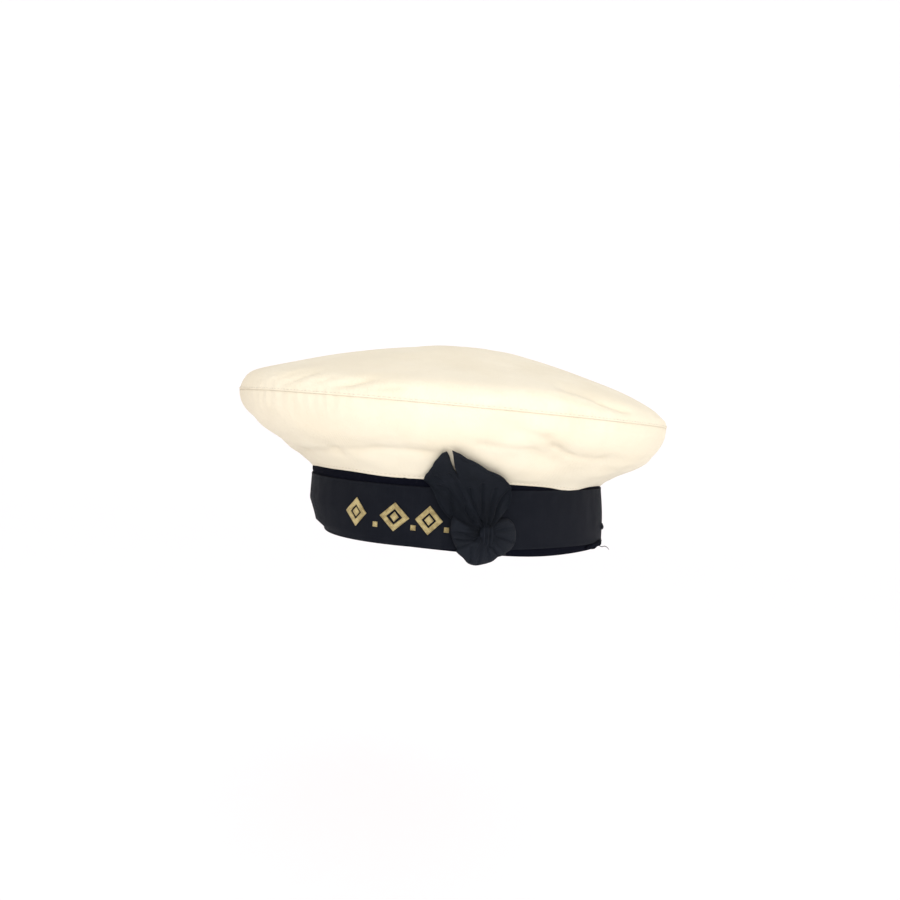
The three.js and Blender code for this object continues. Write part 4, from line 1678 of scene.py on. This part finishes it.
        def on_ribbon(height: Grid) -> Grid:
            return ring_point(outer[0] + off, outer[1] + off, 0.0, 0.0, azimuth, height)

        def on_flare(length: Grid) -> Grid:
            return self.crown.side.cad_face(azimuth, length / self.crown.side.length)

        past = way - neck
        t = np.clip((past + self.corner) / (2 * self.corner), 0, 1)[..., None]
        low = on_ribbon(np.full_like(way, neck - self.corner))
        mid = on_ribbon(np.full_like(way, neck))
        high = on_flare(np.full_like(way, self.corner))
        bend = (1 - t) ** 2 * low + 2 * t * (1 - t) * mid + t**2 * high
        flare = on_flare(np.maximum(past, self.corner))
        below, above = (past < -self.corner)[..., None], (past > self.corner)[..., None]
        return np.where(below, on_ribbon(way), np.where(above, flare, bend))

    def point(self, along: Grid, up: Grid, lift: Grid) -> Grid:
        """Places of the bow: so far along and up from the knot's middle, lifted off the cap.

        Args:
            along: Millimetres round the cap, towards the wearer's back.
            up: Millimetres up.
            lift: Millimetres off the ground.

        Returns:
            The points.
        """
        knot = np.radians(self.azimuth)
        off = self.gap + self.band.ribbon_wall
        outer = self.band.outer
        per_turn = np.hypot((outer[0] + off) * np.cos(knot), (outer[1] + off) * np.sin(knot))
        azimuth, way = knot + along / per_turn, self.height + up
        turn, step = 0.002, 0.4
        across = self.ground(azimuth + turn, way) - self.ground(azimuth - turn, way)
        ahead = self.ground(azimuth, way + step) - self.ground(azimuth, way - step)
        return self.ground(azimuth, way) + unit(np.cross(across, ahead)) * lift[..., None]

    def rays(self, rays: Sequence[Ray], length: float, rows: int, share: Grid) -> tuple[Grid, Grid]:
        """The angles and radii of a fan, with smooth rows between its rays.

        Args:
            rays: The rays.
            length: The length that their reach is a share of.
            rows: How many rows the fan gets.
            share: Shares of the way from root to tip, one for each column.

        Returns:
            The angles in radians and the radii, by row and column.
        """
        angles = np.stack([Spline([(a,) for a in ray.angles]).at_step(share)[..., 0] for ray in rays])
        reach = np.array([ray.reach for ray in rays]) * length
        table = np.column_stack([reach, angles])
        steps = np.linspace(0, 1, rows)
        places = np.linspace(0, 1, len(rays))
        straight = np.stack([np.interp(steps, places, column) for column in table.T], -1)
        fan = self.STIFFNESS * straight + (1 - self.STIFFNESS) * Spline(table).at_step(steps)
        root = self.radius - self.root_in
        return np.radians(fan[:, 1:]), root + (fan[:, :1] - root) * share

    def pleats(self, along: Grid, up: Grid) -> Grid:
        """The lift of the pleats: a sharp hollow along each line, with a soft roll either side."""
        lift = np.zeros_like(along)
        for pleat in self.PLEATS:
            line = Spline(pleat.line).at(np.linspace(0, 1, 25))
            reach = np.hypot(along[..., None] - line[:, 0], up[..., None] - line[:, 1]).min(-1)
            roll = self.roll_height * hill(reach, self.roll_width * pleat.width)
            lift += pleat.depth * (hill(reach, pleat.width) - roll)
        return lift

    def gathers(self, angle: Grid, radius: Grid, phase: float) -> Grid:
        """The fine gathers that the knot draws: many near it, and only slow swells further out."""
        near = np.exp(-np.maximum(radius - self.radius, 0) / self.near_reach)
        beyond = np.exp(-np.maximum(radius - self.middle_from, 0) / self.middle_reach)
        fine = sum(gather.at(angle, radius, phase) for gather in self.FINE_GATHERS)
        middle = self.MIDDLE_GATHER.at(angle, radius, phase) * smoothstep(radius, *self.MIDDLE_RISE)
        slow = self.SLOW_GATHER.at(angle, radius, phase) * smoothstep(radius, *self.SLOW_RISE)
        return near * fine + beyond * middle + slow

    def tail(
        self, name: str, rays: Sequence[Ray], over: float, phase: float, silk: bpy.types.Material,
    ) -> bpy.types.Object:
        """Makes a cut ribbon end, gathered at the knot and spread over the crown's flare.

        Args:
            name: The piece's name.
            rays: Its rays.
            over: How much further off the cap it lies, where it laps over the other end.
            phase: Where its gathers start.
            silk: Its finish.

        Returns:
            The piece.
        """
        share = np.linspace(0, 1, self.tail_columns)
        rows = self.rows_per_ray * (len(rays) - 1) + 1
        angle, radius = self.rays(rays, self.tail_length, rows, share)
        along, up = radius * np.cos(angle), radius * np.sin(angle)
        root = self.root_lift * (1 - smoothstep(radius, self.radius, self.radius + self.settle))
        pleat = self.pleats(along, up) + self.gathers(angle, radius, phase)
        curl = self.curl * smoothstep(share, 0.90, 1.0)
        off = self.gap + self.wall + self.tail_off + over + curl
        lift = off + root + np.maximum(pleat, self.pleat_floor)
        outer, inner = (self.point(along, up, lift - depth) for depth in (0, self.wall))
        # Painted highlight on the raised rolls, and the rubbed cut end
        wear_and_light = np.clip(pleat * self.fold_painted_light, 0, 1) + self.end_wear * smoothstep(share, 0.96, 1.0)
        spread = even_spread(0.45, self.tail_length / self.tail_columns)
        piece = self.maker.shell(f"bow_{name}_silk", outer, inner, spread=spread, wear_and_light=np.clip(wear_and_light, 0, 1))
        return dress(piece, silk, "silk", f"bow_{name}")

    def loop(
        self, name: str, rays: Sequence[Ray], phase: float, silk: bpy.types.Material,
    ) -> bpy.types.Object:
        """Makes a folded loop: out over its front layer from the knot, and back under it.

        Args:
            name: The piece's name.
            rays: Its rays.
            phase: Where its gathers start.
            silk: Its finish.

        Returns:
            The piece.
        """
        share = np.linspace(0, 1, self.loop_columns)
        place = Spline(self.LOOP_SECTION).at(share)
        slope = np.gradient(place, axis=0)
        sweep, layer = np.clip(place[:, 0], 0, 1), place[:, 1]
        angle, radius = self.rays(rays, self.loop_length, self.loop_rows, sweep)
        length = (radius.max(1) - radius.min(1))[:, None]
        turned = np.broadcast_arrays(-slope[:, 1] * self.loop_puff, slope[:, 0] * length)
        outside = unit(np.stack(turned, -1)) * self.wall
        side = np.sin(np.linspace(0, np.pi, self.loop_rows))[:, None] ** 0.35
        lift = layer * self.loop_puff * (self.loop_flat + self.loop_swell * side)
        along, up = radius * np.cos(angle), radius * np.sin(angle)
        front = smoothstep(layer, 0.25, 0.9) * smoothstep(1 - share, 0.25, 0.6)
        pleat = (self.pleats(along, up) + self.loop_gathers * self.gathers(angle, radius, phase)) * front
        outer = self.point(along, up, lift + pleat)
        near = np.maximum(radius - outside[..., 0], 0.5)
        inner = self.point(near * np.cos(angle), near * np.sin(angle), lift + pleat - outside[..., 1])
        # Painted highlight on the raised rolls, over the loops' rubbed tone
        wear_and_light = np.clip(self.loop_wear + pleat * self.fold_painted_light, 0, 1)
        spread = even_spread(0.4, 2 * self.loop_length / self.loop_columns)
        piece = self.maker.shell(f"bow_{name}_silk", outer, inner, spread=spread, wear_and_light=wear_and_light)
        return dress(piece, silk, "silk", f"bow_{name}")

    def knot(self, silk: bpy.types.Material) -> bpy.types.Object:
        """Makes the gathered knot: a small mound drawn into upright ribs.

        Over a disc its height is the thickness times the square root of 1 - r^3, and the ribs
        are a wave across it that fades towards its rim.
        """
        turns, reaches = np.linspace(0, TURN, 64, endpoint=False), np.linspace(1, 0, 30)
        turn, reach = np.meshgrid(turns, reaches, indexing="ij")
        across, up = reach * np.cos(turn), reach * np.sin(turn)
        dome = np.sqrt(np.clip(1 - reach**3, 0, 1))
        ribs = self.rib_height * np.cos(TURN * across * self.rib_count + 0.7 * up + 0.8) * dome
        lift = self.gap + self.knot_foot + (self.thickness - self.knot_sink) * dome + ribs
        waist = 1 - self.knot_pinch * np.cos(2 * turn)
        x = across * (self.radius + self.knot_over[0]) * waist + self.knot_shift[0]
        y = up * (self.radius + self.knot_over[1]) * waist + self.knot_shift[1]
        outer = self.point(x, y, lift)
        inner = self.point(x, y, np.full_like(lift, self.gap))
        spread = even_spread(0.3, 0.25)
        # Painted highlight on the ribs' ridges
        wear_and_light = np.clip(ribs * 0.8, 0, 1)
        piece = self.maker.shell(
            "bow_knot_silk", outer, inner, ring=True, pole=True, spread=spread, wear_and_light=wear_and_light,
        )
        return dress(piece, silk, "silk", "bow_knot")

    def build(self) -> list[bpy.types.Object]:
        """Makes the bow's pieces.

        Returns:
            The pieces.
        """
        # The bow's silk: a lit copy of the one silk of ribbon and bow, its colours painted lighter
        silk = RibbedSilk("silk_bow_lit_copy", (0.0086, 0.0112, 0.0165), (0.0165, 0.0195, 0.0265)).material()
        tails = [
            self.tail("tail_left", self.LEFT_TAIL, 0.0, 0.3, silk),
            self.tail("tail_right", self.RIGHT_TAIL, self.tail_overlap, 1.7, silk),
        ]
        loops = [
            self.loop("loop_right", self.RIGHT_LOOP, 0.8, silk),
            self.loop("loop_bottom", self.BOTTOM_LOOP, 2.2, silk),
            self.loop("loop_left", self.LEFT_LOOP, 4.0, silk),
        ]
        return [*tails, *loops, self.knot(silk)]


@dataclass
class Wear:
    """Signs of age at the rim by the wearer's left ear: a rolled lump, a nick and a loose thread.

    Sizes are millimetres and azimuths are degrees.
    """

    maker: Maker
    band: Band
    lump_azimuths: tuple[float, float] = (89.0, 108.0)
    lump_radius: float = 0.3
    lump_swell: float = 1.5
    lump_lobes: float = 0.17
    lump_height: float = 1.5
    lump_climb: float = 2.2
    lump_out: float = 0.9
    nick_azimuth: float = 107.0
    nick_height: float = 12.0
    nick_size: tuple[float, float, float] = (1.5, 0.9, 1.1)
    thread_azimuth: float = 100.0
    thread_root: tuple[float, float] = (1.2, 0.6)
    thread_radius: float = 0.24
    sideways: float = 28.0

    # The nick's two tufts, millimetres up from its height and off the ribbon
    TUFTS = ((0.0, 0.7), (1.1, 0.3))
    # The thread's path, millimetres out and up from where it leaves the rim
    THREAD = ((-2.0, 0.8), (0.0, 0.5), (1.9, 0.5), (3.4, 0.1), (5.0, 0.6), (6.6, 0.0), (7.9, -1.3))

    def lump(self, material: bpy.types.Material) -> bpy.types.Object:
        """Makes the lump, where the turned rim has rolled up like a cord.

        Its section is a circle with three lobes that turn along it, and it swells between its
        ends as a half sine to the power 0.6.
        """
        share = np.linspace(0, 1, 44)[:, None]
        turn = np.linspace(0, TURN, 24, endpoint=False)[None, :]
        first, last = np.radians(self.lump_azimuths)
        size = self.lump_radius + self.lump_swell * np.sin(np.pi * share) ** 0.6
        size = size * (1 + self.lump_lobes * np.cos(3 * turn + 11 * share))
        azimuth = np.broadcast_to(first + (last - first) * share, size.shape)
        height = self.lump_height + self.lump_climb * share + size * np.sin(turn)
        points = self.band.point(azimuth, height, self.lump_out + size * np.cos(turn))
        return dress(self.maker.tube("rolled_rim_lump", points, closed=False), material, "serge")

    def nick(self, material: bpy.types.Material) -> bpy.types.Object:
        """Makes the small tuft that stands out of the ribbon."""
        up, off = np.array(self.TUFTS).T
        azimuth = np.radians(np.full_like(up, self.nick_azimuth))
        outward = np.stack([np.sin(azimuth), -np.cos(azimuth), np.zeros_like(up)], -1)
        upright = np.broadcast_to((0.0, 0.0, 1.0), outward.shape)
        middles = self.band.ribbon_point(azimuth, self.nick_height + up, off)
        tuft = self.maker.beads("ribbon_nick", middles, upright, outward, self.nick_size)
        return dress(tuft, material, "silk")

    def thread(self, material: bpy.types.Material) -> bpy.types.Object:
        """Makes the loose thread: a thin round section along a kinked path that leaves the rim."""
        path = Spline(self.THREAD).at(np.linspace(0, 1, 46))[:, None]
        turn = np.linspace(0, TURN, 8, endpoint=False)
        side = np.radians(self.sideways)
        right = np.array([np.cos(side), np.sin(side), 0.0])
        ahead = np.array([-np.sin(side), np.cos(side), 0.0])
        root = self.band.point(np.radians(self.thread_azimuth), *self.thread_root)
        around = np.cos(turn)[:, None] * (0, 0, 1) + np.sin(turn)[:, None] * ahead
        points = root + path[..., :1] * right + path[..., 1:] * (0, 0, 1) + around * self.thread_radius
        return dress(self.maker.tube("loose_thread", points, closed=False), material, "serge")

    def build(self) -> list[bpy.types.Object]:
        """Makes the three signs of wear.

        Returns:
            The pieces.
        """
        dark = Thread("dark_thread", (0.020, 0.022, 0.028)).material()
        serge = Serge("worn_serge", cloth=Cloth.PLACE).material()
        return [self.lump(serge), self.nick(dark), self.thread(dark)]


# The studio


def spot_at(azimuth: float, distance: float, height: float) -> Grid:
    """The place at an azimuth in degrees, a distance from the cap's axis and a height."""
    turn = np.radians(azimuth)
    return np.array([distance * np.sin(turn), -distance * np.cos(turn), height])


def set_up(obj: bpy.types.Object, axes: Sequence[Grid], spot: Grid) -> None:
    """Puts a camera or a light in the scene, by its own three axes and its place in metres."""
    place = np.eye(4)
    place[:3, :3], place[:3, 3] = np.column_stack(axes), spot
    obj.matrix_world = Matrix(place.tolist())
    bpy.context.scene.collection.objects.link(obj)


@dataclass(frozen=True)
class Viewpoint:
    """The photograph's camera: its place in millimetres, the way it looks and its tilt in degrees."""

    azimuth: float = 28.0
    distance: float = 608.5
    height: float = 65.6
    yaw: float = 0.82
    pitch: float = -1.44
    roll: float = 5.2
    focal: float = 972.0
    picture: float = 900.0
    sensor: float = 36.0

    def add(self) -> None:
        """Adds the camera and makes it the scene's."""
        look = np.radians(self.azimuth) + np.radians(self.yaw)
        pitch, roll = np.radians(self.pitch), np.radians(self.roll)
        ahead = np.array([-np.sin(look) * np.cos(pitch), np.cos(look) * np.cos(pitch), np.sin(pitch)])
        level = unit(np.cross(ahead, (0, 0, 1)))
        above = np.cross(level, ahead)
        right = level * np.cos(roll) + above * np.sin(roll)
        up = -level * np.sin(roll) + above * np.cos(roll)
        data = bpy.data.cameras.new("photo_camera")
        data.sensor_width = self.sensor
        data.lens = self.sensor * self.focal / self.picture
        data.clip_start = 0.01
        camera = bpy.data.objects.new("photo_camera", data)
        set_up(camera, [right, up, -ahead], spot_at(self.azimuth, self.distance, self.height) * MM)
        bpy.context.scene.camera = camera


@dataclass(frozen=True)
class SoftLight:
    """A wide soft light, aimed at the cap, its azimuth in degrees and its sizes in metres."""

    name: str
    azimuth: float
    distance: float
    height: float
    size: float
    power: float

    AIM = (0.0, 0.0, 0.06)

    def add(self) -> None:
        """Adds the light."""
        spot = spot_at(self.azimuth, self.distance, self.height)
        back = unit(spot - self.AIM)
        right = unit(np.cross((0, 0, 1), back))
        data = bpy.data.lights.new(self.name, "AREA")
        data.shape, data.size, data.energy = "DISK", self.size, self.power
        light = bpy.data.objects.new(self.name, data)
        set_up(light, [right, np.cross(back, right), back], spot)


@dataclass
class Studio:
    """The pale sweep, the soft lights and the camera, in metres."""

    floor_height: float = -0.25
    reach: float = 3.2
    wall: float = 3.0
    sky: float = 0.84

    LIGHTS = (
        SoftLight("front_light", 32.0, 1.3, -0.10, 1.3, 9.5),
        SoftLight("side_light", 85.0, 1.5, -0.05, 1.0, 2.6),
        SoftLight("top_light", 40.0, 1.2, 1.5, 1.4, 5.0),
    )

    def sweep(self) -> None:
        """Makes the floor and backdrop: a flat round floor whose rim turns up into a wall.

        The section runs out along the floor, up a quarter circle and up the wall, and is
        carried round a circle.
        """
        turn = np.linspace(0, TURN, 96, endpoint=False)
        bend = np.linspace(0, np.pi / 2, 16)
        radius = np.concatenate([[0.02, 0.5, 1.0, 1.6], self.reach - 1 + np.sin(bend), [self.reach]])
        height = np.concatenate([[0, 0, 0, 0], 1 - np.cos(bend), [self.wall]])
        x, y = radius * np.sin(turn)[:, None], radius * np.cos(turn)[:, None]
        points = np.stack([x, y, np.broadcast_to(height + self.floor_height, x.shape)], -1)
        rows, columns = x.shape
        i, k = cells(rows, columns - 1)
        ahead = (i + 1) % rows
        quads = np.stack([i, i, ahead, ahead], 1) * columns + np.stack([k, k + 1, k + 1, k], 1)
        faces = quads.tolist() + [list(range(0, rows * columns, columns))]
        mesh = bpy.data.meshes.new("pale_sweep")
        mesh.from_pydata(points.reshape(-1, 3).tolist(), [], faces)
        mesh.shade_smooth()
        mesh.materials.append(PaleGround("pale_paper").material())
        obj = bpy.data.objects.new("pale_sweep", mesh)
        bpy.context.scene.collection.objects.link(obj)

    def build(self) -> None:
        """Sets up the studio."""
        self.sweep()
        for light in self.LIGHTS:
            light.add()
        world = bpy.data.worlds.new("pale_sky")
        world.use_nodes = True
        background = world.node_tree.nodes["Background"]
        background.inputs["Color"].default_value = (1.0, 0.99, 0.985, 1)
        background.inputs["Strength"].default_value = self.sky
        scene = bpy.context.scene
        scene.world = world
        scene.view_settings.view_transform = "Standard"
        scene.view_settings.look = "None"
        Viewpoint().add()


def main() -> None:
    """Builds the cap in order and reports each piece."""
    logging.basicConfig(level=logging.INFO, format="%(name)s: %(message)s")
    Studio().build()
    maker = Maker("root")
    crown = Crown(maker)
    band = Band(maker)
    for part in (crown, band, Ornament(maker, band), Bow(maker, crown, band), Wear(maker, band)):
        for piece in part.build():
            LOG.info("%s: %d faces", piece.name, len(piece.data.polygons))


if __name__ == "__main__":
    main()
